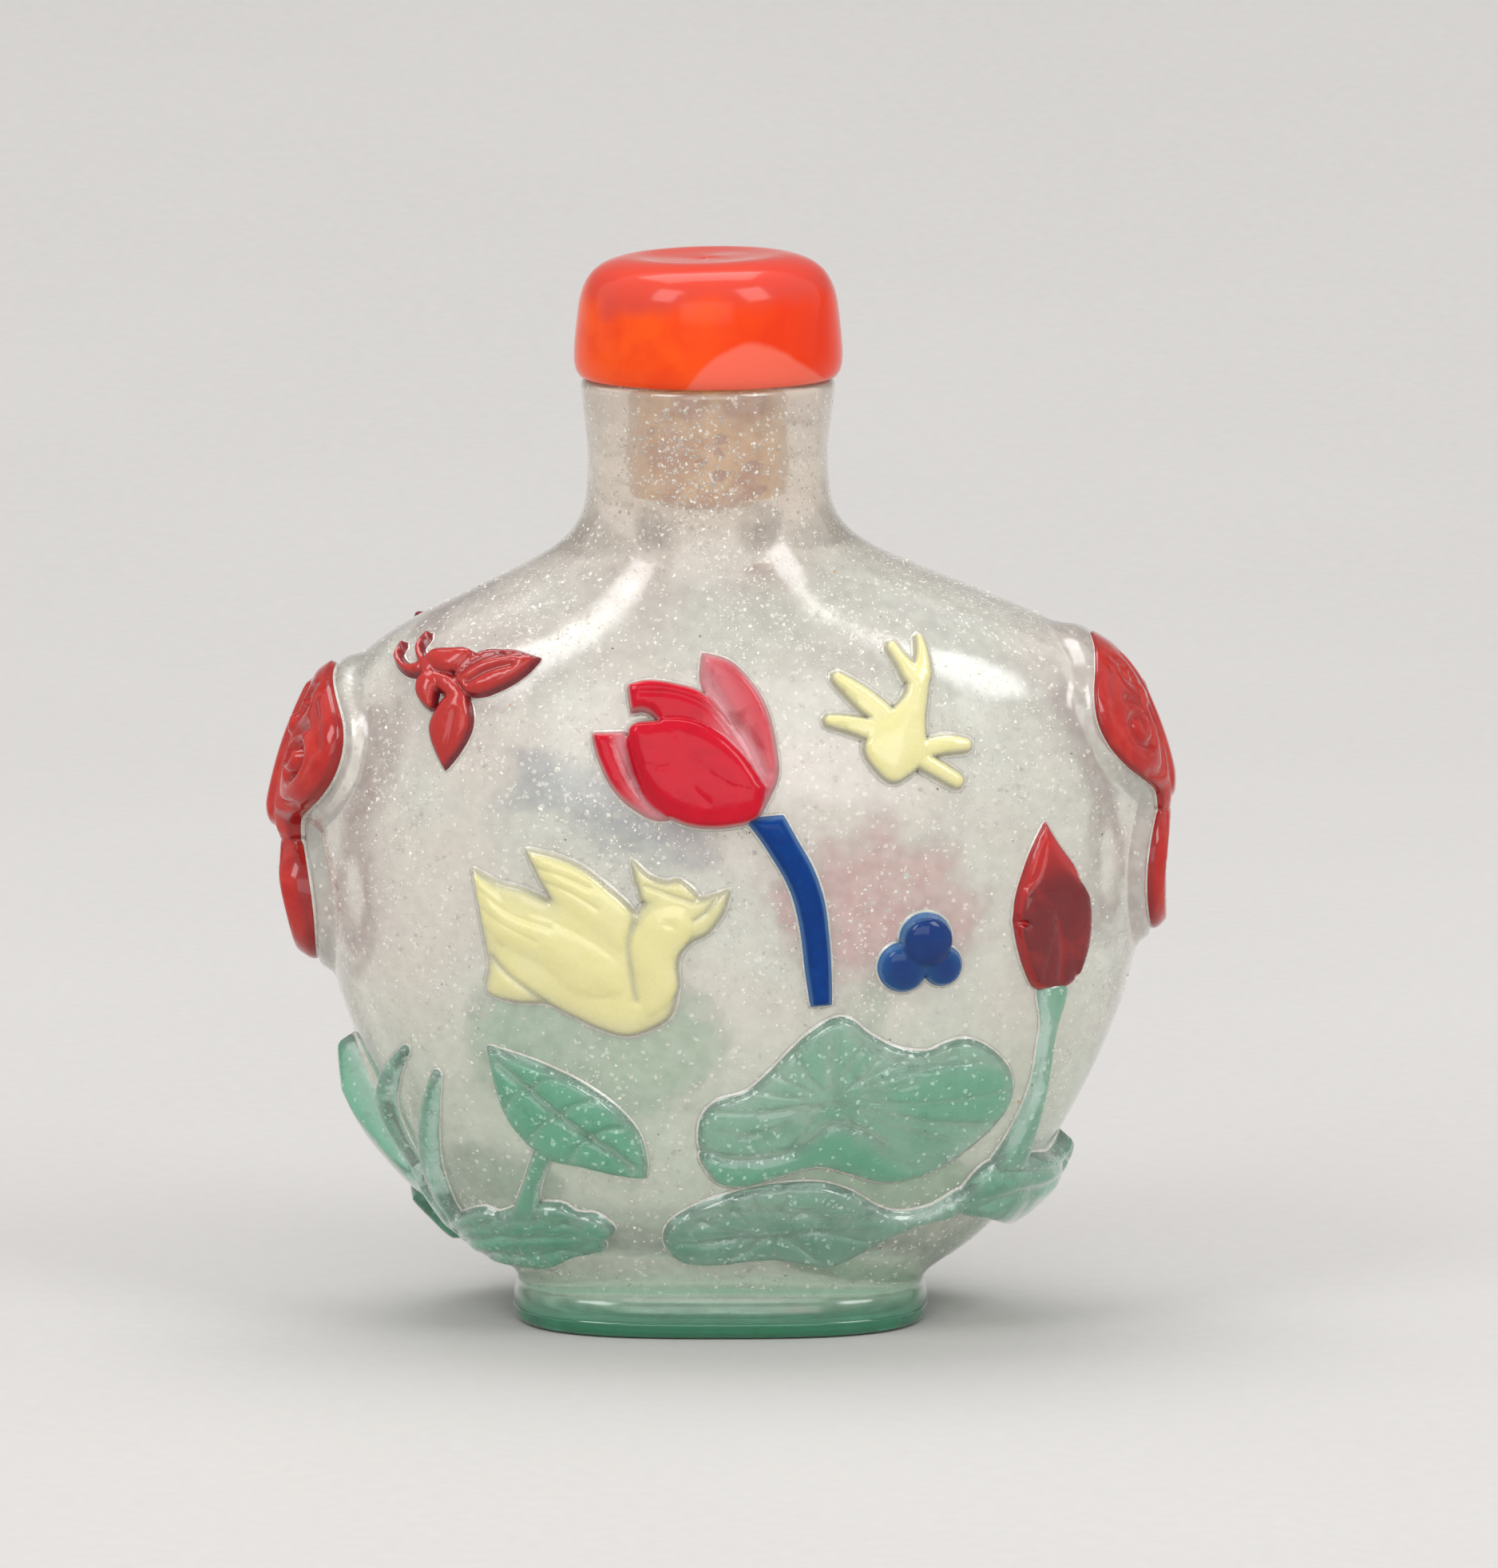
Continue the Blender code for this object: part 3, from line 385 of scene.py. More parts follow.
def rim_look():
    """The clear glass that rises to the edge of an overlay."""
    look = Look("clear_rim", IOR=1.5, Transmission_Weight=0.3, Coat_Weight=1.0, Coat_Roughness=0.08)
    look.colour(look.mix(look.ramp(look.noise(0.0007, 3), 0.35, 0.65), srgb(220, 217, 206), srgb(240, 237, 228)))
    look.dull(look.noise(0.0006, 2), 0.3, 0.7, 0.16, 0.3)
    look.bump(look.noise(0.0012, 2), 0.0001, 0.5)
    return look.material


def coral_look():
    look = Look("coral", IOR=1.5, Coat_Weight=0.32, Coat_Roughness=0.16, Specular_IOR_Level=0.1)
    x, y, z = (look.place(axis) for axis in "XYZ")
    wander = look.math("MULTIPLY", look.math("SUBTRACT", look.noise(0.005, 2), 0.5), 0.004)
    off = look.math("DIVIDE", look.math("SUBTRACT", x, ARCH_MIDDLE), ARCH_HALF)
    arch = look.math("MULTIPLY", look.math("MULTIPLY", off, off), ARCH_FALL)
    top = look.math("ADD", look.math("SUBTRACT", ARCH_TOP, arch), look.math("MULTIPLY", wander, 0.4))
    under = look.ramp(look.math("SUBTRACT", top, z), -0.0001, 0.0004)
    pale = look.math("MULTIPLY", under, look.ramp(y, 0.0, -0.004))
    # painted light and shade: the cap's side is painted lighter orange on the left, where the lamps light it, and
    # deeper red on the right
    across = look.math("ADD", x, look.math("MULTIPLY", wander, 1.5))
    side = look.mix(look.ramp(across, -0.005, 0.007), srgb(244, 80, 8), srgb(230, 52, 4))
    side = look.mix(look.ramp(look.noise(0.003, 3, 0.5, 0.3), 0.4, 0.7, 0.0, 0.5), side, srgb(226, 44, 2))
    crown = look.ramp(look.math("ADD", z, wander), *CAP_CROWN)
    side = look.mix(look.math("MULTIPLY", crown, 0.85), side, srgb(206, 66, 54))
    side = look.mix(look.math("MULTIPLY", pale, 0.9), side, srgb(238, 104, 82))
    nicks = look.ramp(look.noise(0.0007, 4, 0.8, 0.3, (1, 1, 0.35)), 0.70, 0.80)
    look.colour(look.mix(look.math("MULTIPLY", nicks, 0.45), side, srgb(250, 190, 170)))
    look.dull(nicks, 0.0, 1.0, 0.12, 0.4)
    look.bump(look.noise(0.0009, 3, 0.6), 0.00003, 0.5)
    return look.material


def cork_look():
    look = Look("cork", Roughness=0.9)
    grain = look.noise(0.0022, 4, 0.6, 0.5, (1, 1, 0.7))
    base = look.mix(look.ramp(grain, 0.35, 0.65), srgb(208, 128, 54), srgb(255, 208, 132))
    base = look.mix(look.chips(0.0009, 0.12), base, srgb(186, 112, 50))
    # painted light: the cork is painted paler where it turns away from the eye, for the haze of the milky glass in
    # front of its edges
    look.colour(look.mix(look.turned(0.25, 0.75), base, srgb(246, 218, 188)))
    look.bump(grain, 0.0002, 0.8)
    return look.material


def fleck_look(name, dark, light, rough=0.35):
    look = Look(name, Roughness=rough, Coat_Weight=1.0, Coat_Roughness=0.04)
    look.colour(look.mix(look.node("NewGeometry", "Random Per Island"), dark, light))
    return look.material


LOOKS = {
    "outside": body_look(),
    "inside": inner_look(),
    "rim": rim_look(),
    "green_glass": overlay_look(
        "green_glass", srgb(216, 242, 230), srgb(126, 212, 176), srgb(226, 240, 232), srgb(88, 190, 150),
        clear=(0.84, 0.72), rough=0.1, specks=0.13, thick=(0.44, 1.02), patchy=0.45, edging=0.6,
        ripple=0.0003, cuts=0.00004,
    ),
    "foot_green": overlay_look(
        "foot_green", srgb(96, 200, 158), srgb(52, 176, 128), srgb(150, 210, 184), srgb(84, 192, 150),
        clear=(0.72, 0.72), rough=0.08, side=SIDE_GREEN,
    ),
    "red_glass": overlay_look(
        "red_glass", srgb(112, 20, 26), srgb(172, 26, 20), srgb(104, 34, 44), srgb(190, 44, 32), rough=0.22,
        coat_rough=0.07, gloss=0.3, coat=0.6,
    ),
    "mask_red": overlay_look(
        "mask_red", srgb(166, 20, 16), srgb(178, 24, 18), srgb(120, 36, 38), srgb(204, 56, 44), rough=0.2,
        coat_rough=0.06, gloss=0.15, coat=0.7, cuts=0.00003,
    ),
    "bud_red": overlay_look(
        "bud_red", srgb(180, 22, 20), srgb(108, 14, 20), srgb(132, 40, 44), srgb(150, 30, 30), rough=0.2,
        coat_rough=0.06, gloss=0.3, coat=0.6, thick=(0.6, 0.86), cuts=0.00003,
    ),
    "ruby_glass": overlay_look(
        "ruby_glass", srgb(244, 164, 172), srgb(200, 2, 36), srgb(226, 176, 172), srgb(174, 0, 26),
        rough=0.16, clear=(0.5, 0.08), thick=(0.24, 0.66), gloss=0.08, coat=0.3, cuts=0.00003, edging=0.7,
    ),
    "blue_glass": overlay_look(
        "blue_glass", srgb(24, 86, 150), srgb(0, 50, 118), srgb(84, 122, 166), srgb(0, 66, 138),
        rough=0.2, coat_rough=0.03, gloss=0.05, coat=0.25, cuts=0.00004, ripple=0.0003,
    ),
    "berry_blue": overlay_look(
        "berry_blue", srgb(32, 92, 150), srgb(0, 44, 106), srgb(84, 124, 166), srgb(0, 62, 126), rough=0.16,
        coat_rough=0.03, gloss=0.1, coat=0.55, thick=(0.25, 0.75),
    ),
    "yellow_glass": overlay_look(
        "yellow_glass", srgb(220, 217, 180), srgb(222, 215, 150), srgb(220, 216, 196), srgb(224, 218, 168),
        rough=0.24, coat_rough=0.1, clear=(0.4, 0.0), thick=(0.3, 0.7),
    ),
    "ruby_back": overlay_look(
        "ruby_back", srgb(255, 120, 148), srgb(250, 34, 80), srgb(240, 190, 190), srgb(244, 60, 104),
        rough=0.2, clear=(0.88, 0.88),
    ),
    "blue_back": overlay_look(
        "blue_back", srgb(60, 110, 200), srgb(16, 62, 180), srgb(120, 146, 182), srgb(30, 82, 196),
        rough=0.2, clear=(0.7, 0.7),
    ),
    "green_back": overlay_look(
        "green_back", srgb(150, 236, 188), srgb(80, 212, 146), srgb(214, 232, 220), srgb(104, 218, 164),
        rough=0.12, clear=(0.86, 0.86),
    ),
    "coral": coral_look(),
    "cork": cork_look(),
}


def show(name, points, faces, looks, replaces=(), facts=None, smooth=True, slots=None):
    """A piece on the bottle's body, from points and faces in the frame."""
    mesh = bpy.data.meshes.new(name)
    mesh.from_pydata(np.asarray(points).tolist(), [], faces if isinstance(faces, list) else faces.tolist())
    for look in looks:
        mesh.materials.append(look)
    for fact, values in (facts or {}).items():
        mesh.attributes.new(fact, "FLOAT", "POINT").data.foreach_set("value", np.asarray(values, np.float32))
    if slots is not None:
        mesh.polygons.foreach_set("material_index", np.asarray(slots, np.int32))
    mesh.update()
    mesh.shade_smooth() if smooth else mesh.shade_flat()
    piece = bpy.data.objects.new(name, mesh)
    bpy.context.scene.collection.objects.link(piece)
    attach(piece, "root")
    if replaces:
        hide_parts(*replaces)
    return piece


def quads(rows, across, closed=False):
    """Faces between rows of points that run round, also from the last row to the first if closed."""
    faces = []
    for r in range(rows if closed else rows - 1):
        near, far = r * across, (r + 1) % rows * across
        for c in range(across):
            d = (c + 1) % across
            faces.append((near + c, near + d, far + d, far + c))
    return faces


def turned_faces(rows, across):
    """The same, with a flat face over each end."""
    start, end = tuple(range(across)), tuple((rows - 1) * across + c for c in range(across))
    return [*quads(rows, across), start[::-1], end]


# Drawing tools, in millimetres of u and z

# Between the points of an outline, and how far a stroke's end runs out as a share of its width
STEP = 0.3
END_ROUND = 0.3
TIP = "tip"
LEAST_STEPS = 16
POINTS_AT_ONCE = 1500
TINY = 1e-12


def rounded(points, closed=True, step=STEP):
    """A line through the points, smooth but for those marked TIP."""
    corner = [len(point) > 2 for point in points]
    points = np.array([point[:2] for point in points], float)
    count = len(points)
    found = []
    for i in range(count if closed else count - 1):
        start, end = points[i], points[(i + 1) % count]
        before = start if corner[i] or not closed and i == 0 else points[i - 1]
        stop = corner[(i + 1) % count] or not closed and i + 2 == count
        after = end if stop else points[(i + 2) % count]
        pieces = max(1, round(float(np.hypot(*(end - start))) / step))
        t = (np.arange(pieces) / pieces)[:, None]
        line = 2 * start + (end - before) * t
        bend = (2 * before - 5 * start + 4 * end - after) * t**2
        turn = (3 * start - before - 3 * end + after) * t**3
        found.append((line + bend + turn) / 2)
    if not closed:
        found.append(points[-1:])
    return np.concatenate(found)


def stroke(points, widths):
    """The outline of a tapering stroke with rounded ends, with a width at each point."""
    points, widths = np.array(points, float), np.array(widths, float)
    last = len(points) - 1
    way = np.array([points[min(i + 1, last)] - points[max(i - 1, 0)] for i in range(last + 1)])
    way /= np.linalg.norm(way, axis=1, keepdims=True)
    aside = np.stack([-way[:, 1], way[:, 0]], axis=1) * widths[:, None] / 2
    first, final = points[0] - points[1], points[-1] - points[-2]
    start = points[0] + first / np.hypot(*first) * widths[0] * END_ROUND
    end = points[-1] + final / np.hypot(*final) * widths[-1] * END_ROUND
    outline = [start, *(points + aside), end, *(points - aside)[::-1]]
    return rounded([tuple(point) for point in outline])


def disc(centre, across, down):
    count = max(LEAST_STEPS, round(math.pi * (across + down) / 2 / STEP))
    a = 2 * math.pi * np.arange(count) / count
    return np.stack([centre[0] + across / 2 * np.cos(a), centre[1] + down / 2 * np.sin(a)], axis=1)


def inside(points, loop):
    found = np.zeros(len(points), bool)
    for start, end in zip(loop, np.roll(loop, -1, axis=0)):
        crosses = (start[1] > points[:, 1]) != (end[1] > points[:, 1])
        if crosses.any():
            rise = end[1] - start[1]
            at = start[0] + (points[:, 1] - start[1]) / (rise if rise else 1) * (end[0] - start[0])
            found ^= crosses & (points[:, 0] < at)
    return found


def pairs(line, closed=True):
    """The line's segments, as starts and ends."""
    return (line, np.roll(line, -1, axis=0)) if closed else (line[:-1], line[1:])


def distance(points, segments):
    """From each point to the nearest of the segments."""
    starts = np.concatenate([a for a, _ in segments])
    ways = np.concatenate([b for _, b in segments]) - starts
    lengths = np.maximum((ways**2).sum(axis=1), TINY)
    found = []
    for part in np.array_split(points, max(1, len(points) // POINTS_AT_ONCE)):
        off = part[:, None] - starts
        t = np.clip((off * ways).sum(axis=2) / lengths, 0, 1)
        found.append(np.sqrt(((off - t[..., None] * ways) ** 2).sum(axis=2).min(axis=1)))
    return np.concatenate(found)


def aside_of(line, closed, by):
    way = np.roll(line, -1, axis=0) - np.roll(line, 1, axis=0) if closed else np.gradient(line, axis=0)
    way /= np.linalg.norm(way, axis=1, keepdims=True) + TINY
    return line + np.stack([way[:, 1], -way[:, 0]], axis=1) * by


# The triangles' free points: the grid's pitch, the rows beside outlines in mm and beside cuts as shares of
# their width, how near a line both kinds may lie, and how near two points become one
GRID = 0.26
LOOP_ROWS = (-0.3, -0.12, 0.12, 0.3)
CUT_ROWS = (-1.3, -0.6, 0.6, 1.3)
FREE_GAP = 0.09
GRID_GAP = 0.38
MERGE = 0.01


def triangles(loops, holes, lines, widths):
    """Fine triangles over all the loops together less the holes, following the lines."""
    points, edges, free = [], [], []
    segments = [pairs(line) for line in loops + holes] + [pairs(line, False) for line in lines]
    count = 0
    for line in loops + holes:
        edges += [(count + i, count + (i + 1) % len(line)) for i in range(len(line))]
        points.append(line)
        count += len(line)
        free += [aside_of(line, True, by) for by in LOOP_ROWS]
    for line, width in zip(lines, widths):
        edges += [(count + i, count + i + 1) for i in range(len(line) - 1)]
        points.append(line)
        count += len(line)
        free += [aside_of(line, False, by * width) for by in CUT_ROWS]

    def kept(at):
        covered = np.zeros(len(at), bool)
        for loop in loops:
            covered |= inside(at, loop)
        for hole in holes:
            covered &= ~inside(at, hole)
        return covered

    free = np.concatenate(free)
    free = free[kept(free)]
    free = free[distance(free, segments) > FREE_GAP]
    every = np.concatenate(points)
    low, high = every.min(axis=0), every.max(axis=0)
    grid = []
    for i, row in enumerate(np.arange(low[1], high[1], GRID * math.sqrt(3) / 2)):
        across = np.arange(low[0] + i % 2 * GRID / 2, high[0], GRID)
        grid.append(np.stack([across, np.full_like(across, row)], axis=1))
    grid = np.concatenate(grid)
    grid = grid[kept(grid)]
    grid = grid[distance(grid, segments) > GRID_GAP]
    every = np.concatenate([every, free, grid])
    verts, _, faces, *_ = delaunay_2d_cdt([Vector(point) for point in every.tolist()], edges, [], 0, MERGE)
    verts = np.array([tuple(vert) for vert in verts])
    faces = np.array([face for face in faces if len(face) == 3])
    faces = faces[kept(verts[faces].mean(axis=1))]
    a, b, c = (verts[faces[:, i]] for i in range(3))
    turned = (b[:, 0] - a[:, 0]) * (c[:, 1] - a[:, 1]) < (b[:, 1] - a[:, 1]) * (c[:, 0] - a[:, 0])
    faces[turned] = faces[turned][:, ::-1]
    used, faces = np.unique(faces, return_inverse=True)
    return verts[used], faces.reshape(-1, 3)


def rims_of(faces):
    """The border's directed edges."""
    ways = np.concatenate([faces[:, [0, 1]], faces[:, [1, 2]], faces[:, [2, 0]]])
    most = faces.max() + 1
    code = ways[:, 0] * most + ways[:, 1]
    return ways[~np.isin(ways[:, 1] * most + ways[:, 0], code)]


def swell(d, run):
    """A rounded rise from 0 at the border to 1 at the distance run."""
    return np.sqrt(1 - (1 - np.clip(d / run, 0, 1)) ** 2)


# Shares of a relief's height: the least, and where no layer lies
LEAST_SHARE = 0.15
BARE_SHARE = 0.3
ON_LINE = 0.02
RIM_FADE = 0.22
RIM_PALENESS = 0.7
SEAT = -0.02
# The clear glass that falls from an overlay's edge: how far out as a share of the halo, its height as a
# share of the edge's, and how pale it is
SKIRT = ((0.16, 0.64, 0.5), (0.4, 0.3, 0.8), (0.7, 0.08, 1.0), (1.0, 0.0, 1.0))


def relief(
    name, face, layers, height, slot, cuts=(), holes=(), base=0.0, sink=0.4, halo=0.3, edge_round=0.35,
    edge_low=0.55, share_at=None, look=None, carve=1.0, bevel=False,
):
    """A carved piece fused on the glass.

    A layer is an outline, the share of the height at its border, the share it swells by, how far in it
    swells, and maybe how much it rises for each mm to the right and up; the highest layer shows. A cut is
    a line, its depth as a share, and its width. base is where the height starts above the glass, sink how
    far the back lies in it, and halo how far the clear foot of the edge runs out.
    """
    loops = [layer[0] for layer in layers]
    cuts = [(rounded(line, closed=False), depth, width) for line, depth, width in cuts]
    flat, faces = triangles(loops, list(holes), [cut[0] for cut in cuts], [cut[2] for cut in cuts])
    rim = rims_of(faces)
    to_rim = distance(flat, [(flat[rim[:, 0]], flat[rim[:, 1]])])
    share = np.full(len(flat), BARE_SHARE)
    for loop, low, dome, run, *tilt in layers:
        d = distance(flat, [pairs(line) for line in [loop, *holes]])
        here = inside(flat, loop) | (d < ON_LINE)
        d = np.where(here, d, 0)
        level = low + dome * swell(d, run)
        if tilt:
            level = level + (flat - loop.mean(axis=0)) @ np.array(tilt[0])
        share = np.where(here, np.maximum(share, level), share)
    for line, depth, width in cuts:
        share = share - depth * carve * np.exp(-((distance(flat, [pairs(line, False)]) / width) ** 2))
    edge_rise = np.clip(to_rim / edge_round, 0, 1) if bevel else swell(to_rim, edge_round)
    share = np.maximum(share, LEAST_SHARE) * (edge_low + (1 - edge_low) * edge_rise)
    if share_at:
        share = share * share_at(flat)
    count = len(flat)
    out = np.zeros((count, 2))
    way = flat[rim[:, 1]] - flat[rim[:, 0]]
    way = np.stack([way[:, 1], -way[:, 0]], axis=1) / (np.linalg.norm(way, axis=1, keepdims=True) + TINY)
    np.add.at(out, rim[:, 0], way)
    np.add.at(out, rim[:, 1], way)
    border = np.unique(rim)
    out = out[border] / (np.linalg.norm(out[border], axis=1, keepdims=True) + TINY)
    lift = base + height * share * MM
    points = [on_glass(face, flat[:, 0] * MM, flat[:, 1] * MM, lift)]
    thick, edge = [share], [np.exp(-((to_rim / RIM_FADE) ** 2)) * RIM_PALENESS]
    walls, upper = [], border
    for far, drop, paleness in SKIRT:
        by, seat = halo * far, SEAT * MM * (drop == 0)
        spot = flat[border] + out * by
        lifts = base + (lift[border] - base) * drop + seat
        points.append(on_glass(face, spot[:, 0] * MM, spot[:, 1] * MM, lifts))
        thick.append(share[border] * max(drop, BARE_SHARE))
        edge.append(np.full(len(border), paleness))
        lower = np.arange(len(border)) + sum(len(part) for part in points[:-1])
        across = dict(zip(border.tolist(), upper.tolist())), dict(zip(border.tolist(), lower.tolist()))
        walls += [(across[0][a], across[1][a], across[1][b], across[0][b]) for a, b in rim.tolist()]
        upper = lower
    start = sum(len(part) for part in points)
    points.append(on_glass(face, flat[:, 0] * MM, flat[:, 1] * MM, base - sink * MM))
    thick.append(share)
    edge.append(np.zeros(count))
    above = dict(zip(border.tolist(), upper.tolist()))
    walls += [(above[a], start + a, start + b, above[b]) for a, b in rim.tolist()]
    every = faces.tolist() + walls + (faces[:, ::-1] + start).tolist()
    facts = {"thick": np.concatenate(thick), "edge": np.concatenate(edge)}
    clear_from = len(faces) + 2 * len(rim)
    slots = np.zeros(len(every), int)
    slots[clear_from : clear_from + 2 * len(rim)] = 1
    return show(
        f"{name}_relief", np.concatenate(points), every, [LOOKS[look or slot], LOOKS["rim"]],
        replaces=[name], facts=facts, slots=slots,
    )


# Handles

HANDLE_TURN = -0.5
MASK_HALF = [
    (0.0, 0.0), (1.8, -0.3), (4.1, -1.2), (6.1, -2.7), (7.0, -4.4), (6.8, -6.1), (5.6, -7.6),
    (3.8, -8.7), (2.3, -9.6), (1.6, -10.9),
]
MASK_CHIN = 8.7
RING_DROP = 14.6
RING_ACROSS = 7.8
RING_DOWN = 8.4
RING_BAND = 1.7
PAD_MARGIN = 0.4
PAD_FADE = 1.0
PAD_RUN = 1.15
NOSE = ([(0, -1.6), (0, -4.6), (0, -7.6), (0, -9.4)], [1.0, 1.2, 2.0, 2.8])
BRIDGE = ([(0, -9.2), (0, -10.4), (0, -11.6)], [3.6, 3.5, 4.0])
MASK_EYE = (1.5, -3.7)
EYE_WIDE = 1.3
# Each scroll's centre, start radius, end radius and turns
SCROLLS = (((2.3, -2.2), 0.8, 0.3, 1.0), ((3.9, -5.3), 1.75, 0.4, 1.3))
CHEEK_CUT = [(1.3, -4.0), (1.5, -6.4), (2.6, -8.2), (4.2, -8.2)]
BROW_CUT = [(3.6, -1.9), (5.2, -3.2), (6.1, -4.6)]
# The narrow place between mask and ring: how deep, how far down, and how tall
NECK_DIP = (0.2, 11.2, 1.4)
FALL_START = 12.5
FALL_RUN = 6
# brow is the share of the height at the top, and fall how much is lost down the ring
HANDLES = {
    "left": {"top": 42.7, "pad": 0.8, "height": 2.6, "brow": 0.45, "fall": 0.45},
    "right": {"top": 44.8, "pad": 0.7, "height": 1.3, "brow": 0.2, "fall": 0.1},
}


def mirrored(half):
    left = [(-point[0], *point[1:]) for point in reversed(half) if abs(point[0]) > 1e-6]
    return list(half) + left


def handle_loops(top, margin):
    mask = [(u + math.copysign(margin, u), z + margin * (z > -1)) for u, z in mirrored(MASK_HALF)]
    ring_loop = disc((HANDLE_TURN, top - RING_DROP), RING_ACROSS + 2 * margin, RING_DOWN + 2 * margin)
    return [rounded([(u + HANDLE_TURN, z + top) for u, z in mask]), ring_loop]


SPIRAL_STEPS = 9


def spiral(centre, start_radius, end_radius, turns, top, side):
    count = round(SPIRAL_STEPS * turns)
    found = []
    for i in range(count + 1):
        radius = start_radius + (end_radius - start_radius) * i / count
        angle = math.pi / 2 + 2 * math.pi * turns * i / count
        across = side * (centre[0] + radius * math.cos(angle))
        found.append((HANDLE_TURN + across, top + centre[1] + radius * math.sin(angle)))
    return found


def veins(centre, reaches, depth=0.1, width=0.18):
    """Cuts that run out from a leaf's centre: an angle in degrees, a length, and how far each one bends."""
    found = []
    for angle, reach, bend in reaches:
        way = np.array((math.cos(math.radians(angle)), math.sin(math.radians(angle))))
        side = np.array((-way[1], way[0]))
        line = [centre + way * reach * t + side * bend * math.sin(math.pi * t) for t in (0.2, 0.45, 0.7, 1)]
        found.append(([tuple(point) for point in line], depth, width))
    return found


def alike(depth, width, *lines):
    """Cuts of one depth and width."""
    return [(line, depth, width) for line in lines]


def handle(side):
    form = HANDLES[side]
    top = form["top"]

    def share_at(flat):
        down = top - flat[:, 1]
        deep, middle, tall = NECK_DIP
        dip = deep * np.exp(-(((down - middle) / tall) ** 2))
        fall = form["fall"] * np.clip((down - FALL_START) / FALL_RUN, 0, 1) ** 1.5
        return form["brow"] + (1 - form["brow"]) * np.minimum(down / MASK_CHIN, 1) - dip - fall

    def local(points, way=1):
        return [(HANDLE_TURN + way * u, top + z) for u, z in points]

    mask, ring_loop = handle_loops(top, 0)
    hole = disc((HANDLE_TURN, top - RING_DROP), RING_ACROSS - 2 * RING_BAND, RING_DOWN - 2 * RING_BAND)
    layers = [
        (mask, 0.66, 0.14, 1.0), (ring_loop, 0.36, 0.42, RING_BAND / 2),
        (stroke(local(NOSE[0]), NOSE[1]), 0.84, 0.16, 0.7), (stroke(local(BRIDGE[0]), BRIDGE[1]), 0.5, 0.2, 0.8),
    ]
    cuts = []
    for way in (-1, 1):
        layers.append((disc(local([MASK_EYE], way)[0], EYE_WIDE, EYE_WIDE), 0.86, 0.2, 0.6))
        for scroll in SCROLLS:
            centre, radius = local([scroll[0]], way)[0], scroll[1]
            layers.append((disc(centre, radius * 2.1, radius * 2.1), 0.76, 0.2, radius * 0.8))
            cuts.append((spiral(*scroll, top, way), 0.4, 0.3))
        cuts += [(local(CHEEK_CUT, way), 0.22, 0.3), (local(BROW_CUT, way), 0.15, 0.3)]
    relief(
        f"mask_handle_{side}", side, layers, form["height"], "red_glass", cuts=cuts, holes=[hole],
        base=form["pad"] * MM, sink=0.02, halo=0.06, edge_round=0.7, edge_low=0.66, share_at=share_at,
        look="mask_red", bevel=True,
    )


# Bottle body

BODY_ACROSS = 300
# More columns near the handles: how many more at most, and over what share of the girth
CROWDING = (2.2, 0.055)
ROW_STEP = 0.0003
BORE_STEP = 0.0016
CAVITY_STEP = 0.0005
CAVITY_SMOOTH = 2
LIP_STEPS = 5
# Under the foot, a share of the hollow's size and a height in mm
FOOT_HOLLOW = ((0.2, 1.5), (0.5, 1.46), (0.8, 1.36))
HOLLOW_MIDDLE = 1.5
# Up the foot, an inset and a height in mm
FOOT_SEAT = (
    (3.0, 1.2), (2.9, 1.1), (1.6, 1.1), (0.3, 1.08), (0.0, 1.08), (0.0, 1.2), (0, 1.5), (0.03, 1.7),
    (0.07, 1.9), (0.13, 2.1), (0.22, 2.3), (0.34, 2.5),
)
# Into the bore, an inset and a drop in mm
BORE_EDGE = ((-0.8, 0), (-0.3, 0), (-0.1, 0.12), (0, 0.35))
CAVITY_END = ((0.9, 5.95), (0.6, 5.75), (0.25, 5.7))
PAD_REACH = (12, 0.022, 0.048)


def pad_lift(share, z):
    """How far the clear pads under the handles raise the glass at shares of the girth and height z."""
    lift = np.zeros_like(z)
    for side, form in HANDLES.items():
        u = (share - SIDES[side]) * girth(z) / MM
        wide, low, high = PAD_REACH
        near = np.nonzero((np.abs(u) < wide) & (z > low) & (z < high))[0]
        spots = np.stack([u[near], z[near] / MM], axis=1)
        loops = handle_loops(form["top"], PAD_MARGIN)
        d = distance(spots, [pairs(loop) for loop in loops])
        covered = inside(spots, loops[0]) | inside(spots, loops[1])
        d = np.where(covered, d, -d)
        t = np.clip((d + PAD_FADE) / PAD_RUN, 0, 1)
        lift[near] = np.maximum(lift[near], form["pad"] * MM * t * t * (3 - 2 * t))
    return lift


def inset(size, by):
    return size[0] - by, size[1] - by, size[2], size[3]


def scaled(size, by):
    return size[0] * by, size[1] * by, size[2], size[3]


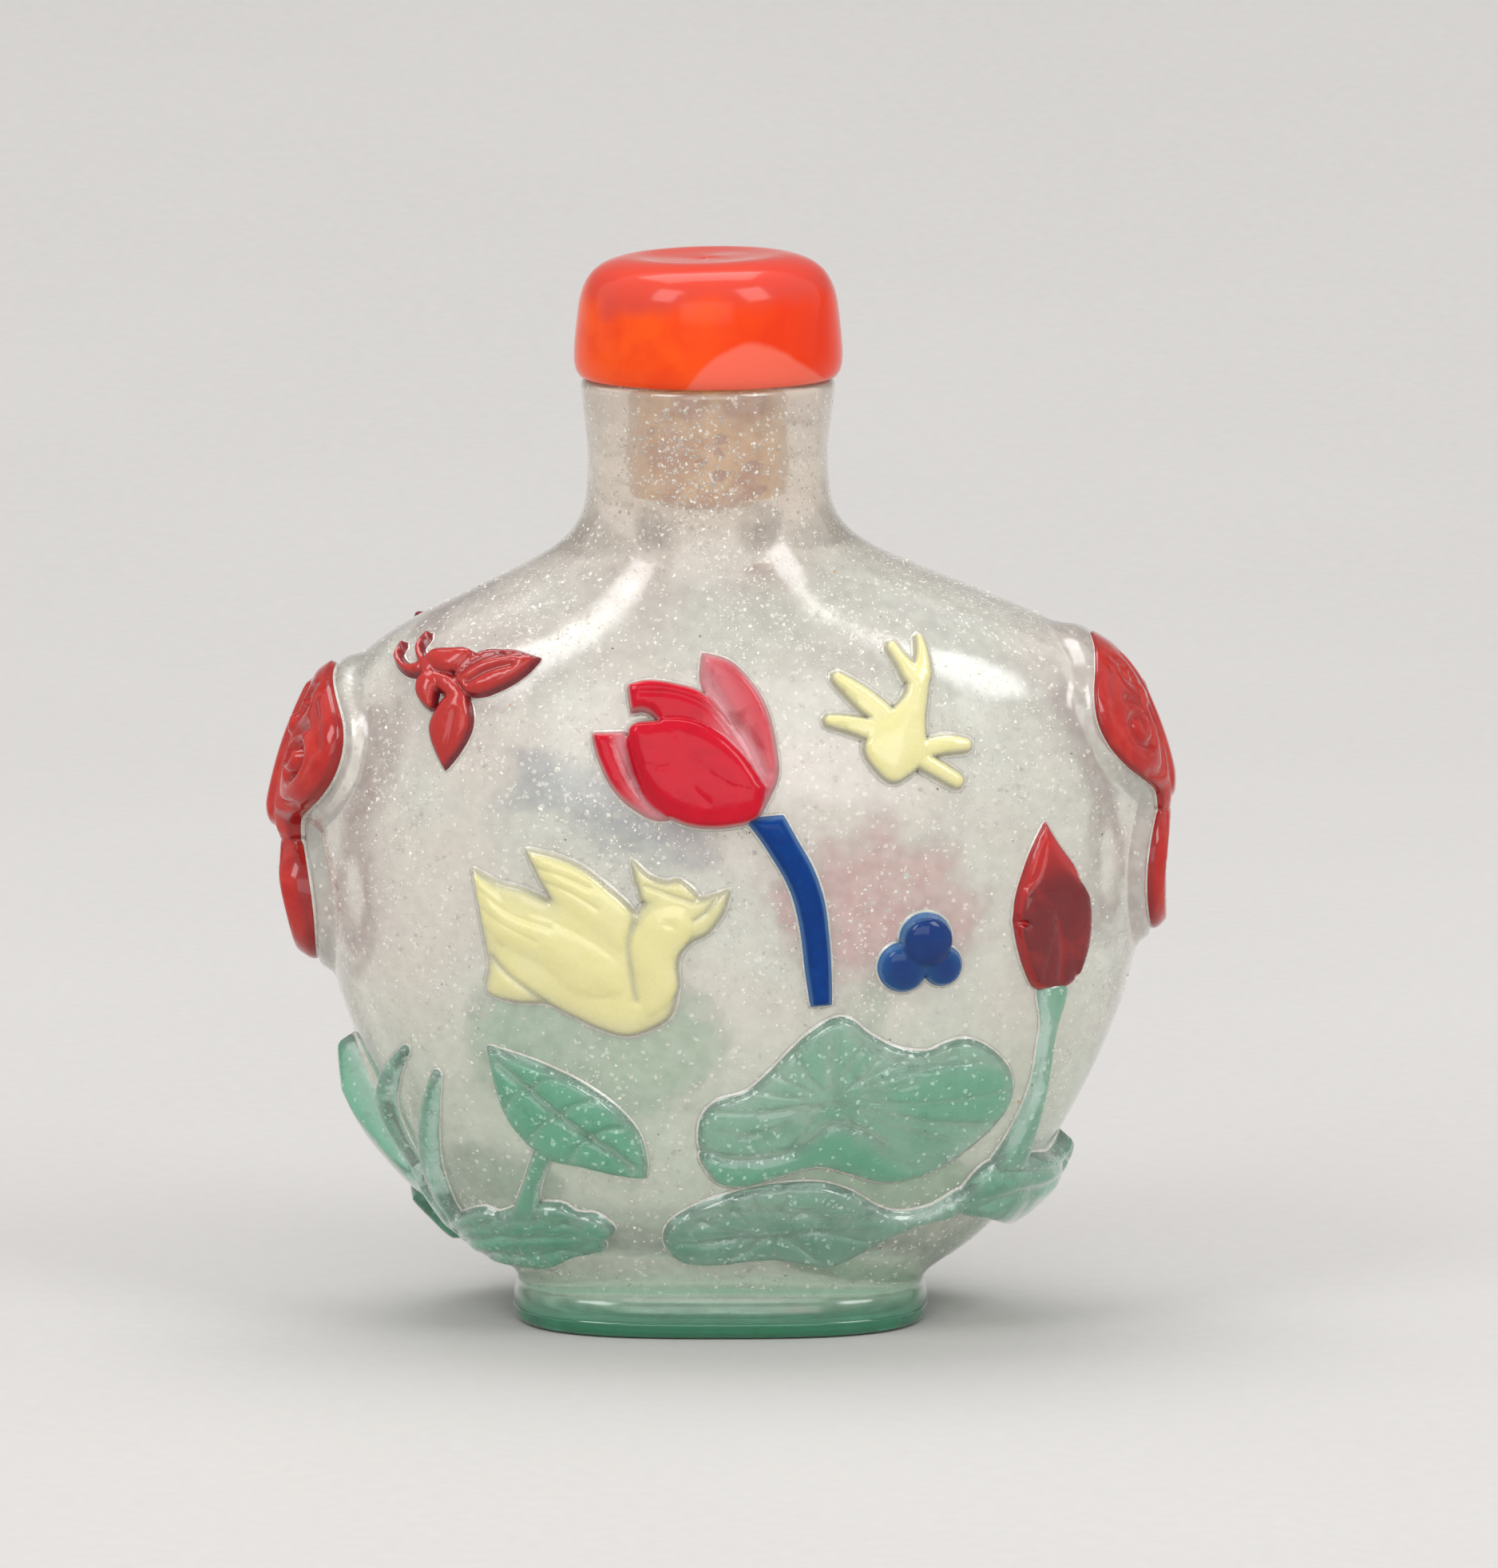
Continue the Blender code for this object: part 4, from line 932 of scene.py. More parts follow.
def body():
    across = BODY_ACROSS
    s = np.linspace(0, 1, 4001)
    more, reach = CROWDING
    density = 1 + more * sum(np.exp(-(((s - SIDES[side]) / reach) ** 4)) for side in HANDLES)
    total = np.concatenate([[0], np.cumsum((density[1:] + density[:-1]) / 2)])
    shares = np.interp(np.arange(across) / across * total[-1], total, s)
    hollow = inset(flange, FOOT_RING_WIDTH)
    rows = [ring(scaled(hollow, scale), z * MM, shares)[0] for scale, z in FOOT_HOLLOW]
    rows += [ring(inset(flange, by * MM), z * MM, shares)[0] for by, z in FOOT_SEAT]
    for z in np.arange(WAIST_HEIGHT, LIP_HEIGHT - LIP_ROUND, ROW_STEP):
        heights = np.full(across, z)
        rows.append(at_share(shares, heights, pad_lift(shares, heights)))
    for turn in np.linspace(0, math.pi / 2, LIP_STEPS):
        by = LIP_ROUND * (1 - math.cos(turn))
        rows.append(ring(inset(lip, by), LIP_HEIGHT - LIP_ROUND + LIP_ROUND * math.sin(turn), shares)[0])
    outer = len(rows)
    rows += [ring(inset(bore, by * MM), LIP_HEIGHT - drop * MM, shares)[0] for by, drop in BORE_EDGE]
    rows += [ring(bore, z, shares)[0] for z in np.arange(LIP_HEIGHT - 0.0012, CAVITY_ROOF, -BORE_STEP)]
    heights = np.arange(CAVITY_ROOF, CAVITY_FLOOR, -CAVITY_STEP)
    sizes = softened(curve_at(INSIDE, heights), CAVITY_SMOOTH)
    rows += [ring(size, z, shares)[0] for size, z in zip(sizes, heights)]
    last = curve_at(INSIDE, np.array([CAVITY_FLOOR]))[0]
    rows += [ring(scaled(last, scale), z * MM, shares)[0] for scale, z in CAVITY_END]
    points = np.concatenate([*rows, [(0, 0, HOLLOW_MIDDLE * MM)], [(last[2], 0, CAVITY_END[-1][1] * MM)]])
    faces = quads(len(rows), across)
    slots = [int(i // across >= outer) for i in range(len(faces))]
    first, final, top = len(points) - 2, len(points) - 1, (len(rows) - 1) * across
    faces += [(first, (c + 1) % across, c) for c in range(across)]
    faces += [(top + c, top + (c + 1) % across, final) for c in range(across)]
    slots += [0] * across + [1] * across
    show(
        "bottle_glass", points, faces, [LOOKS["outside"], LOOKS["inside"]],
        replaces=["bottle_body"], slots=slots,
    )


FOOT_ACROSS = 240
# Round the foot ring's section, an inset and a height in mm
FOOT_PROFILE = [
    (0.62, 0.0), (0.35, 0.06), (0.14, 0.2), (0.03, 0.42), (0.0, 0.65), (0.0, 0.9), (0.0, 1.08),
    (2.9, 1.08), (2.98, 0.9), (3.0, 0.4), (2.9, 0.12), (2.6, 0.0), (1.6, 0.0),
]


def foot():
    shares = np.arange(FOOT_ACROSS) / FOOT_ACROSS
    rows = [ring(inset(flange, by * MM), z * MM, shares)[0] for by, z in FOOT_PROFILE]
    faces = quads(len(rows), FOOT_ACROSS, closed=True)
    points = np.concatenate(rows)
    low = np.clip(points[:, 2] / FOOT_HEIGHT, 0, 1)
    facts = {"thick": 1 - 0.3 * low, "edge": np.zeros(len(points))}
    show("foot_ring", points, faces, [LOOKS["foot_green"]], replaces=["foot_rim"], facts=facts)


# Stopper

CAP_ACROSS = 160
CAP_SEAT = 0.00005
CAP_TILT = 0.00012
# How much the cap is out of round, how many times round, and from where
CAP_WOBBLES = ((0.004, 2, 0.7), (0.003, 3, 2))
CAP_UNDERSIDE = [(0.02, 0.0), (0.5, 0.0), (0.9, 0.0), (0.94, 0.0)]
CAP_MIDDLE = (0.004, 0.978)
# Up the cap, a share of its height and of its radius
CAP_PROFILE = [
    (0.00, 0.955), (0.05, 0.985), (0.17, 1.000), (0.40, 0.985), (0.65, 0.955), (0.80, 0.905),
    (0.90, 0.830), (0.965, 0.720), (1.00, 0.560), (0.985, 0.300),
]


def cap():
    profile = rounded([(wide, share) for share, wide in CAP_PROFILE] + [CAP_MIDDLE], closed=False, step=0.03)
    turn = 2 * math.pi * np.arange(CAP_ACROSS) / CAP_ACROSS
    rows = []
    for wide, share in np.concatenate([CAP_UNDERSIDE, profile]):
        wobble = 1 + sum(much * np.sin(times * turn + start) * wide for much, times, start in CAP_WOBBLES)
        radius = wide * CAP_WIDTH / 2 * wobble
        height = LIP_HEIGHT + CAP_SEAT + share * (CAP_HEIGHT + SEAT_GAP - CAP_SEAT)
        # The top is a little lower on the left
        height = height + CAP_TILT * share * np.cos(turn) * min(1, 1.4 - wide)
        x, y = radius * np.cos(turn) + NECK_LEAN, radius * np.sin(turn)
        rows.append(np.stack([x, y, np.broadcast_to(height, CAP_ACROSS)], axis=1))
    faces = turned_faces(len(rows), CAP_ACROSS)
    show("coral_cap", np.concatenate(rows), faces, [LOOKS["coral"]], replaces=["stopper_cap"])


CORK_ACROSS = 72
CORK_PRESS = 0.00003
CORK_ROWS = 16
# A share of the cork's radius, and a height above its foot or its top
CORK_FOOT = ((0.001, 0), (0.5, 0), (0.88, 0.00005), (0.97, 0.0003))
CORK_TOP = ((0.93, -0.0002), (0.5, 0), (0.001, 0))
CORK_SIDE = (0.0007, -0.0005)


def cork():
    """The cork is pressed against the bore, so the glass shows it as wide as the bore looks."""
    foot_z = LIP_HEIGHT - CORK_LENGTH
    wide = BORE / 2 + CORK_PRESS
    profile = [(share, foot_z + z) for share, z in CORK_FOOT]
    profile += [(1.0, z) for z in np.linspace(foot_z + CORK_SIDE[0], LIP_HEIGHT + CORK_SIDE[1], CORK_ROWS)]
    profile += [(share, LIP_HEIGHT + z) for share, z in CORK_TOP]
    turn = 2 * math.pi * np.arange(CORK_ACROSS) / CORK_ACROSS
    points = []
    for share, z in profile:
        radius = wide * share
        points += [(radius * math.cos(a) + NECK_LEAN, radius * math.sin(a), z) for a in turn]
    faces = turned_faces(len(profile), CORK_ACROSS)
    show("cork_plug", points, faces, [LOOKS["cork"]], replaces=["stopper_cork"])


# Front overlays


def front_overlays():
    lower_wing = rounded([
        (-19.6, 41.5), (-20.0, 40.5), (-19.8, 39.5), (-19.4, 38.7), (-18.9, 37.9, TIP), (-18.1, 38.8),
        (-17.3, 40.0), (-17.0, 41.0), (-17.2, 42.2), (-17.8, 42.9), (-18.8, 42.5),
    ])
    blob = rounded([
        (-21.0, 43.0), (-20.6, 43.6), (-19.8, 43.7), (-19.3, 43.1), (-19.5, 42.2), (-19.6, 41.5),
        (-20.3, 41.7), (-20.9, 42.3),
    ])
    middle = stroke([(-20.4, 44.1), (-19.2, 43.4), (-18.1, 42.8), (-17.5, 42.2)], [0.9, 1.3, 1.4, 0.8])
    top_lobe = rounded([
        (-20.5, 44.3), (-19.9, 45.0), (-18.6, 45.2), (-17.5, 45.3), (-16.8, 45.0), (-17.3, 44.5),
        (-18.3, 43.8), (-19.2, 43.8),
    ])
    wing = rounded([
        (-18.3, 43.8), (-17.2, 44.8), (-16.2, 45.3), (-15.1, 45.4), (-14.0, 45.4), (-12.4, 45.0, TIP),
        (-13.2, 44.2), (-14.2, 43.5), (-15.2, 43.0), (-16.3, 42.6), (-17.5, 42.6), (-18.2, 43.2),
    ])
    feelers = [
        stroke([(-20.7, 43.9), (-21.9, 43.8), (-22.9, 44.4), (-22.7, 45.1)], [0.8, 0.6, 0.6, 0.4]),
        stroke([(-20.5, 44.2), (-21.2, 45.0), (-20.7, 45.8)], [0.7, 0.6, 0.4]),
    ]
    layers = [(feeler, 0.3, 0.45, 0.3) for feeler in feelers] + [
        (wing, 0.4, 0.42, 0.9), (top_lobe, 0.45, 0.5, 0.6), (lower_wing, 0.42, 0.5, 1.2),
        (middle, 0.5, 0.3, 0.6), (blob, 0.5, 0.5, 0.7),
    ]
    cuts = [
        ([(-17.9, 43.6), (-16.6, 44.5), (-15.0, 44.95), (-13.7, 45.1)], 0.25, 0.18),
        ([(-17.2, 43.3), (-15.9, 44.0), (-14.2, 44.5)], 0.28, 0.18),
        ([(-18.8, 38.7), (-18.3, 40.0), (-18.0, 41.4)], 0.16, 0.2),
        ([(-17.5, 42.7), (-18.4, 43.6), (-19.7, 43.8)], 0.2, 0.16),
        ([(-16.3, 44.9), (-15.4, 45.1), (-14.8, 45.0)], 0.12, 0.14),
    ]
    relief("butterfly", "front", layers, 1.0, "red_glass", cuts=cuts, halo=0.22)

    right_petal = rounded([
        (-1.8, 45.5, TIP), (-0.1, 45.0), (1.3, 43.6), (2.2, 42.0), (2.7, 39.9), (2.8, 37.8),
        (1.6, 35.3, TIP), (-0.6, 35.8), (-1.4, 39.0), (-1.6, 42.4), (-2.0, 44.0),
    ])
    back_petal = rounded([
        (-6.7, 43.5, TIP), (-5.4, 43.8), (-3.6, 43.6), (-1.8, 43.0), (0.2, 41.0), (1.2, 39.0), (1.4, 37.6),
        (-2.6, 38.5), (-5.1, 41.7), (-6.5, 41.9, TIP),
    ])
    left_petal = rounded([
        (-9.0, 40.5, TIP), (-8.7, 39.2), (-7.8, 37.3), (-6.5, 36.0), (-4.7, 35.2), (-3.0, 36.0),
        (-5.4, 39.0), (-7.0, 40.6, TIP),
    ])
    front_petal = rounded([
        (-6.6, 40.9), (-5.0, 41.3), (-2.9, 41.3), (-1.0, 40.5), (0.7, 39.0), (2.0, 37.2, TIP),
        (1.6, 35.4), (-0.2, 34.8), (-2.4, 34.8), (-4.1, 35.4), (-5.6, 36.6), (-6.5, 38.9),
    ])
    layers = [
        (right_petal, 0.3, 0.16, 0.7, (0.05, 0.02)), (back_petal, 0.42, 0.16, 0.7, (-0.03, 0.07)),
        (left_petal, 0.36, 0.18, 0.7, (-0.08, 0.0)), (front_petal, 0.74, 0.26, 1.2),
    ]
    cuts = [
        ([(-7.3, 40.0), (-6.5, 38.1), (-5.5, 36.6), (-4.5, 35.8)], 0.22, 0.5),
        ([(-1.7, 43.9), (-0.5, 42.0), (0.9, 40.2), (2.0, 38.0)], 0.2, 0.45),
        ([(-5.8, 43.0), (-3.6, 42.9), (-1.6, 42.1), (-0.2, 40.6)], 0.06, 0.2),
        ([(-1.4, 38.0), (-0.2, 37.3), (1.1, 37.0)], 0.03, 0.1),
        ([(-3.5, 40.3), (-2.8, 39.3), (-1.9, 38.8)], 0.03, 0.1),
        ([(-5.4, 38.5), (-4.6, 38.3), (-4.0, 38.4)], 0.03, 0.1),
        ([(-2.4, 37.0), (-1.6, 36.3)], 0.03, 0.08),
    ]
    relief("lotus_flower", "front", layers, 1.4, "ruby_glass", cuts=cuts, halo=0.3)
    stem = rounded([
        (0.9, 35.2, TIP), (3.2, 35.4, TIP), (4.1, 33.8), (5.1, 32.0), (5.8, 29.9), (6.1, 27.6), (6.25, 25.4),
        (6.3, 23.2, TIP), (5.1, 23.1, TIP), (4.75, 25.5), (4.5, 27.7), (4.1, 29.7), (3.5, 31.3), (2.5, 33.0),
        (1.7, 34.2),
    ])
    relief("flower_stem", "front", [(stem, 0.72, 0.28, 0.8)], 0.9, "blue_glass", halo=0.3)

    creature = stroke(
        [(12.0, 44.0), (11.9, 42.8), (11.4, 41.6), (10.8, 40.3), (10.5, 39.2), (10.4, 38.2)],
        [1.5, 1.5, 2.3, 3.8, 4.2, 2.6],
    )
    fins = [
        stroke([(12.2, 43.8), (12.4, 45.2), (12.3, 46.3)], [1.4, 0.9, 0.5]),
        stroke([(11.7, 43.9), (11.0, 44.9), (10.3, 45.9)], [1.2, 0.9, 0.7]),
        stroke([(10.2, 41.2), (8.4, 42.7), (6.6, 44.1)], [1.3, 1.4, 0.7]),
        stroke([(9.4, 40.6), (7.6, 41.1), (6.0, 41.4)], [1.3, 1.1, 0.7]),
        stroke([(12.0, 39.4), (13.8, 39.7), (15.3, 39.6)], [1.1, 1.2, 0.8]),
        stroke([(11.8, 39.0), (13.4, 38.1), (14.7, 37.3)], [1.0, 1.1, 0.9]),
    ]
    layers = [(fin, 0.4, 0.35, 0.5) for fin in fins] + [(creature, 0.5, 0.5, 1.8)]
    cuts = [([(7.2, 43.2), (8.6, 42.2), (9.6, 41.4)], 0.1, 0.15), ([(6.8, 41.1), (8.4, 40.9)], 0.1, 0.15)]
    relief("goldfish", "front", layers, 0.9, "yellow_glass", cuts=cuts, halo=0.3)

    whole = rounded([
        (-17.0, 31.7, TIP), (-15.3, 30.9), (-13.5, 30.5), (-11.8, 29.9), (-12.6, 31.4),
        (-13.4, 33.1, TIP), (-11.7, 32.8), (-9.8, 32.1), (-8.0, 30.8), (-6.2, 29.1, TIP), (-5.6, 30.1),
        (-6.2, 31.1), (-6.5, 32.6, TIP), (-5.4, 31.6), (-4.3, 31.2), (-3.4, 31.3), (-2.2, 30.2),
        (-1.3, 30.3), (-0.2, 30.7, TIP), (-0.6, 29.3), (-1.6, 27.9), (-2.7, 27.3), (-3.5, 26.2),
        (-3.6, 24.0), (-4.0, 22.5), (-5.0, 21.7), (-6.7, 21.1), (-8.5, 21.5), (-10.3, 22.3),
        (-12.1, 23.1), (-14.0, 23.1), (-16.0, 23.7), (-15.9, 25.6), (-16.4, 28.2),
    ])
    far_wing = rounded([
        (-13.4, 33.1, TIP), (-11.7, 32.8), (-9.8, 32.1), (-8.0, 30.8), (-6.4, 29.1), (-6.4, 26.6),
        (-7.3, 26.2), (-9.2, 27.5), (-10.9, 29.0), (-12.3, 31.0),
    ])
    near_wing = rounded([
        (-17.0, 31.7, TIP), (-15.3, 30.5), (-14.2, 29.5), (-11.4, 28.8), (-9.0, 27.7), (-7.0, 26.2),
        (-6.6, 24.8), (-7.0, 23.6), (-8.7, 23.4), (-10.4, 23.7), (-12.4, 25.4), (-14.4, 26.4), (-16.0, 27.6),
    ])
    head = rounded([
        (-6.2, 27.8), (-5.6, 29.0), (-4.6, 29.7), (-3.5, 29.8), (-2.7, 29.2), (-2.4, 28.4), (-2.9, 27.3),
        (-3.6, 26.2), (-3.6, 24.0), (-5.4, 22.4), (-6.2, 24.6), (-6.6, 26.4),
    ])
    crest = rounded([
        (-6.5, 32.6, TIP), (-5.4, 31.6), (-4.3, 31.2), (-3.4, 31.3), (-2.2, 30.2), (-2.8, 29.6), (-4.4, 29.8),
        (-5.7, 29.9), (-6.1, 31.0),
    ])
    layers = [
        (whole, 0.34, 0.34, 2.2), (far_wing, 0.38, 0.44, 2.0), (near_wing, 0.42, 0.55, 2.6),
        (head, 0.46, 0.48, 1.9), (crest, 0.34, 0.3, 0.8),
    ]
    cuts = [
        ([(-6.3, 28.6), (-6.7, 27.2), (-6.5, 25.4), (-6.2, 23.6)], 0.22, 0.25),
        *alike(
            0.09, 0.16, [(-12.6, 32.0), (-10.9, 31.5), (-9.2, 30.8)], [(-12.1, 31.1), (-10.4, 30.5), (-8.7, 29.5)],
        ),
        *alike(
            0.08, 0.16, [(-16.3, 30.4), (-14.4, 29.0), (-11.8, 28.2)], [(-16.2, 29.2), (-14.4, 28.1), (-12.6, 27.3)],
            [(-16.0, 28.0), (-14.9, 26.9)],
        ),
        ([(-15.6, 26.1), (-14.6, 25.1), (-13.3, 24.1), (-12.1, 23.2)], 0.2, 0.22),
        ([(-1.0, 30.2), (-1.7, 29.3), (-2.5, 28.8)], 0.2, 0.18),
        ([(-5.6, 31.0), (-4.2, 30.5), (-2.6, 30.0)], 0.12, 0.16),
        ([(-4.2, 28.6), (-3.8, 28.5)], 0.1, 0.14),
    ]
    relief("bird", "front", layers, 1.1, "yellow_glass", cuts=cuts, halo=0.3)

    balls = [((12.5, 27.3), 3.3, 0.5, 0.5), ((11.0, 25.5), 3.1, 0.25, 0.45), ((13.6, 25.5), 2.5, 0.25, 0.42)]
    layers = [(disc(centre, wide, wide), low, dome, wide / 2) for centre, wide, low, dome in balls]
    relief(
        "berry_cluster", "front", layers, 1.6, "blue_glass", look="berry_blue", halo=0.3, edge_low=0.7,
        edge_round=0.25,
    )

    bud = rounded([
        (20.7, 34.4, TIP), (21.7, 32.9), (23.0, 31.2), (23.8, 29.2), (24.0, 27.3), (23.5, 25.3),
        (22.6, 23.7), (21.3, 23.5), (20.0, 23.7), (19.2, 25.3), (18.6, 27.4), (18.6, 29.4),
        (19.2, 31.4), (19.9, 33.0),
    ])
    left_leaf = rounded([
        (18.6, 29.0), (19.6, 30.0), (20.7, 29.7), (21.3, 28.4), (20.9, 26.3), (20.0, 24.0), (19.2, 25.2),
        (18.6, 27.4),
    ])
    right_leaf = rounded([
        (23.8, 29.6), (22.9, 30.5), (22.2, 29.9), (21.9, 28.4), (22.2, 26.4), (22.9, 24.2), (23.6, 25.4),
        (24.0, 27.3),
    ])
    layers = [(bud, 0.6, 0.28, 1.3), (left_leaf, 0.74, 0.26, 0.9), (right_leaf, 0.74, 0.26, 0.8)]

    def bud_share(flat):
        return 1 - 0.24 * np.clip((flat[:, 1] - 30.0) / 2.6, 0, 1)

    cuts = [
        ([(19.0, 30.4), (19.9, 31.2), (20.6, 33.6)], 0.14, 0.22),
        ([(23.2, 30.6), (22.2, 31.6), (20.9, 33.4)], 0.14, 0.22),
        ([(21.2, 28.2), (21.6, 26.4), (21.5, 24.4)], 0.12, 0.25),
        ([(18.4, 28.2), (19.0, 28.1)], 0.5, 0.16),
    ]
    relief(
        "lotus_bud", "front", layers, 1.2, "red_glass", cuts=cuts, look="bud_red", halo=0.22, bevel=True,
        share_at=bud_share,
    )

    stem = stroke(
        [(21.3, 23.5), (21.2, 21.2), (21.0, 19.6), (20.8, 17.4), (20.3, 15.2), (19.5, 13.0), (18.6, 11.0)],
        [1.9, 1.0, 0.9, 1.0, 1.4, 2.0, 2.6],
    )
    edge_leaf = rounded([
        (20.8, 11.9), (24.5, 11.5), (28.2, 12.3, TIP), (29.2, 11.4), (28.6, 9.6), (26.4, 7.8),
        (23.4, 6.6), (20.6, 6.9), (17.8, 7.8), (15.2, 8.6), (14.0, 9.2), (15.4, 10.0), (17.3, 11.8),
    ])
    low_leaf = rounded([
        (15.4, 10.0), (13.3, 9.0), (11.2, 8.7), (9.6, 9.2), (7.9, 10.3), (5.8, 11.0), (2.8, 10.9),
        (0.2, 10.3), (-2.0, 9.5), (-3.8, 8.2), (-4.0, 6.7), (-2.8, 5.5), (-0.6, 5.3), (1.8, 5.6),
        (3.7, 5.6), (5.6, 5.2), (7.2, 5.2), (10.3, 7.0), (12.5, 7.9), (15.2, 8.5),
    ])

    def tip_share(flat):
        return 1 + 0.7 * np.clip((flat[:, 0] - 21) / 4, 0, 1)

    layers = [(stem, 0.42, 0.35, 0.7), (edge_leaf, 0.5, 0.4, 1.8), (low_leaf, 0.4, 0.35, 1.4)]
    cuts = [
        *veins((2.6, 8.1), (
            (170, 5.4, 0.3), (188, 5.8, 0.3), (146, 3.2, 0.2), (64, 2.6, 0.2), (20, 5.0, 0.4), (-8, 6.8, 0.3),
            (-34, 3.8, 0.2), (-78, 2.2, 0.2), (222, 3.0, 0.2), (116, 2.4, 0.2),
        )),
        ([(-2.4, 8.4), (-0.6, 9.2), (1.6, 9.6), (4.4, 9.4), (6.8, 8.9), (9.4, 8.9)], 0.16, 0.3),
        ([(-1.6, 7.2), (1.2, 7.6), (4.2, 7.8), (6.6, 8.2), (9.4, 7.9)], 0.12, 0.3),
        ([(15.4, 9.2), (19.0, 9.8), (22.6, 9.9), (26.6, 10.8)], 0.12, 0.35),
        ([(17.6, 11.6), (20.0, 11.2), (23.8, 11.0), (27.4, 11.4)], 0.12, 0.3),
    ]
    relief(
        "bud_plant", "front", layers, 1.3, "green_glass", cuts=cuts, share_at=tip_share, sink=-0.012, halo=0.25,
        carve=1.4,
    )

    leaf = rounded([
        (6.6, 22.1), (5.2, 21.3), (3.9, 20.1), (2.4, 18.5), (0.9, 17.2), (-0.9, 16.6), (-1.9, 15.4),
        (-1.9, 13.4), (-0.9, 11.3), (1.0, 11.0), (3.3, 11.7), (5.6, 12.3), (7.6, 11.8), (9.8, 11.1),
        (11.8, 11.3), (13.9, 12.0), (16.0, 13.4), (17.8, 15.0), (18.6, 16.8), (18.3, 18.2),
        (17.0, 19.6), (15.4, 20.4), (14.0, 20.2), (12.6, 19.7), (10.7, 20.0), (8.8, 21.0), (7.6, 22.0),
    ])
    lower_fold = rounded([
        (-1.9, 13.2), (0.4, 12.7), (2.9, 12.9), (4.7, 13.7), (6.4, 14.9), (8.2, 14.5), (9.8, 13.3),
        (11.6, 12.3), (13.8, 12.2), (11.8, 11.3), (9.8, 11.1), (7.6, 11.8), (5.6, 12.3), (3.3, 11.7),
        (1.0, 11.0), (-0.9, 11.3),
    ])
    right_fold = rounded([
        (9.6, 18.9), (11.4, 18.5), (13.4, 19.1), (16.0, 19.2), (18.0, 18.2), (18.6, 16.8), (17.6, 15.0),
        (15.0, 14.6), (12.0, 14.9), (9.8, 16.4),
    ])
    layers = [(leaf, 0.42, 0.3, 1.8), (lower_fold, 0.5, 0.42, 1.1), (right_fold, 0.5, 0.38, 1.6)]
    cuts = [
        *veins((6.4, 17.0), (
            (168, 7.6, 0.5), (186, 8.0, 0.4), (150, 6.2, 0.4), (128, 4.4, 0.3), (60, 4.0, 0.2), (44, 4.6, -0.3),
            (24, 8.6, 0.4), (12, 10.6, 0.5), (0, 11.4, -0.4), (-12, 10.2, -0.4), (-22, 8.2, -0.3),
            (204, 6.6, 0.3), (-60, 3.6, 0.3), (236, 4.4, -0.3),
        )),
        ([(-1.7, 13.4), (0.4, 13.0), (2.9, 13.2), (4.7, 14.0), (6.4, 15.3), (8.3, 14.9), (10.0, 13.7)], 0.2, 0.3),
        ([(6.4, 20.8), (6.2, 18.8), (6.5, 17.1)], 0.12, 0.3),
        ([(1.8, 15.9), (4.3, 16.3), (6.7, 16.6)], 0.12, 0.3),
        ([(-0.8, 14.9), (2.0, 14.6), (5.4, 15.8)], 0.08, 0.25),
        ([(7.0, 16.6), (9.4, 17.4), (11.8, 17.9)], 0.1, 0.25),
        ([(7.6, 21.2), (8.8, 20.2), (10.6, 19.4), (12.6, 19.2), (14.4, 19.7)], 0.14, 0.28),
    ]
    relief("lotus_leaf", "front", layers, 1.1, "green_glass", cuts=cuts, sink=-0.012, halo=0.35, carve=1.4)

    arrow_leaf = rounded([
        (-16.0, 20.0, TIP), (-13.7, 19.4), (-11.7, 18.7), (-9.6, 17.7), (-7.6, 16.3), (-6.1, 14.6),
        (-5.5, 12.7), (-5.5, 11.5, TIP), (-7.4, 11.7), (-9.7, 12.2), (-11.8, 12.6), (-13.3, 13.7),
        (-14.7, 15.4), (-15.5, 17.6),
    ])
    base_leaf = rounded([
        (-20.6, 6.9), (-18.6, 7.9), (-16.6, 8.6), (-15.3, 8.4), (-13.4, 9.2), (-11.0, 9.4), (-9.9, 8.8),
        (-8.6, 8.7), (-7.4, 7.7), (-8.1, 6.9), (-7.9, 6.3), (-9.8, 5.8), (-11.4, 4.9), (-13.8, 4.8),
        (-16.2, 5.0), (-18.6, 5.8),
    ])
    stem = stroke([(-12.3, 12.9), (-13.0, 10.7), (-13.4, 8.6)], [1.1, 1.1, 1.6])
    outer_blade = stroke(
        [(-31.4, 18.4), (-30.7, 16.6), (-29.4, 14.2), (-27.6, 11.8), (-24.6, 9.2), (-20.8, 7.3)],
        [1.3, 2.2, 2.6, 2.5, 2.3, 2.0],
    )
    blades = [
        stroke(
            [(-22.2, 19.3), (-23.9, 17.3), (-25.0, 14.8), (-24.6, 12.6), (-23.2, 9.6)],
            [0.5, 1.4, 1.5, 1.3, 1.4],
        ),
        stroke(
            [(-19.8, 17.9), (-20.4, 15.7), (-20.9, 13.2), (-21.0, 10.8), (-20.4, 8.2), (-19.6, 7.0)],
            [0.5, 1.2, 1.6, 1.8, 1.8, 1.8],
        ),
    ]

    def blade_share(flat):
        return 1 + 1.4 * np.clip(np.minimum((-24 - flat[:, 0]) / 5, (20 - flat[:, 1]) / 4), 0, 1)

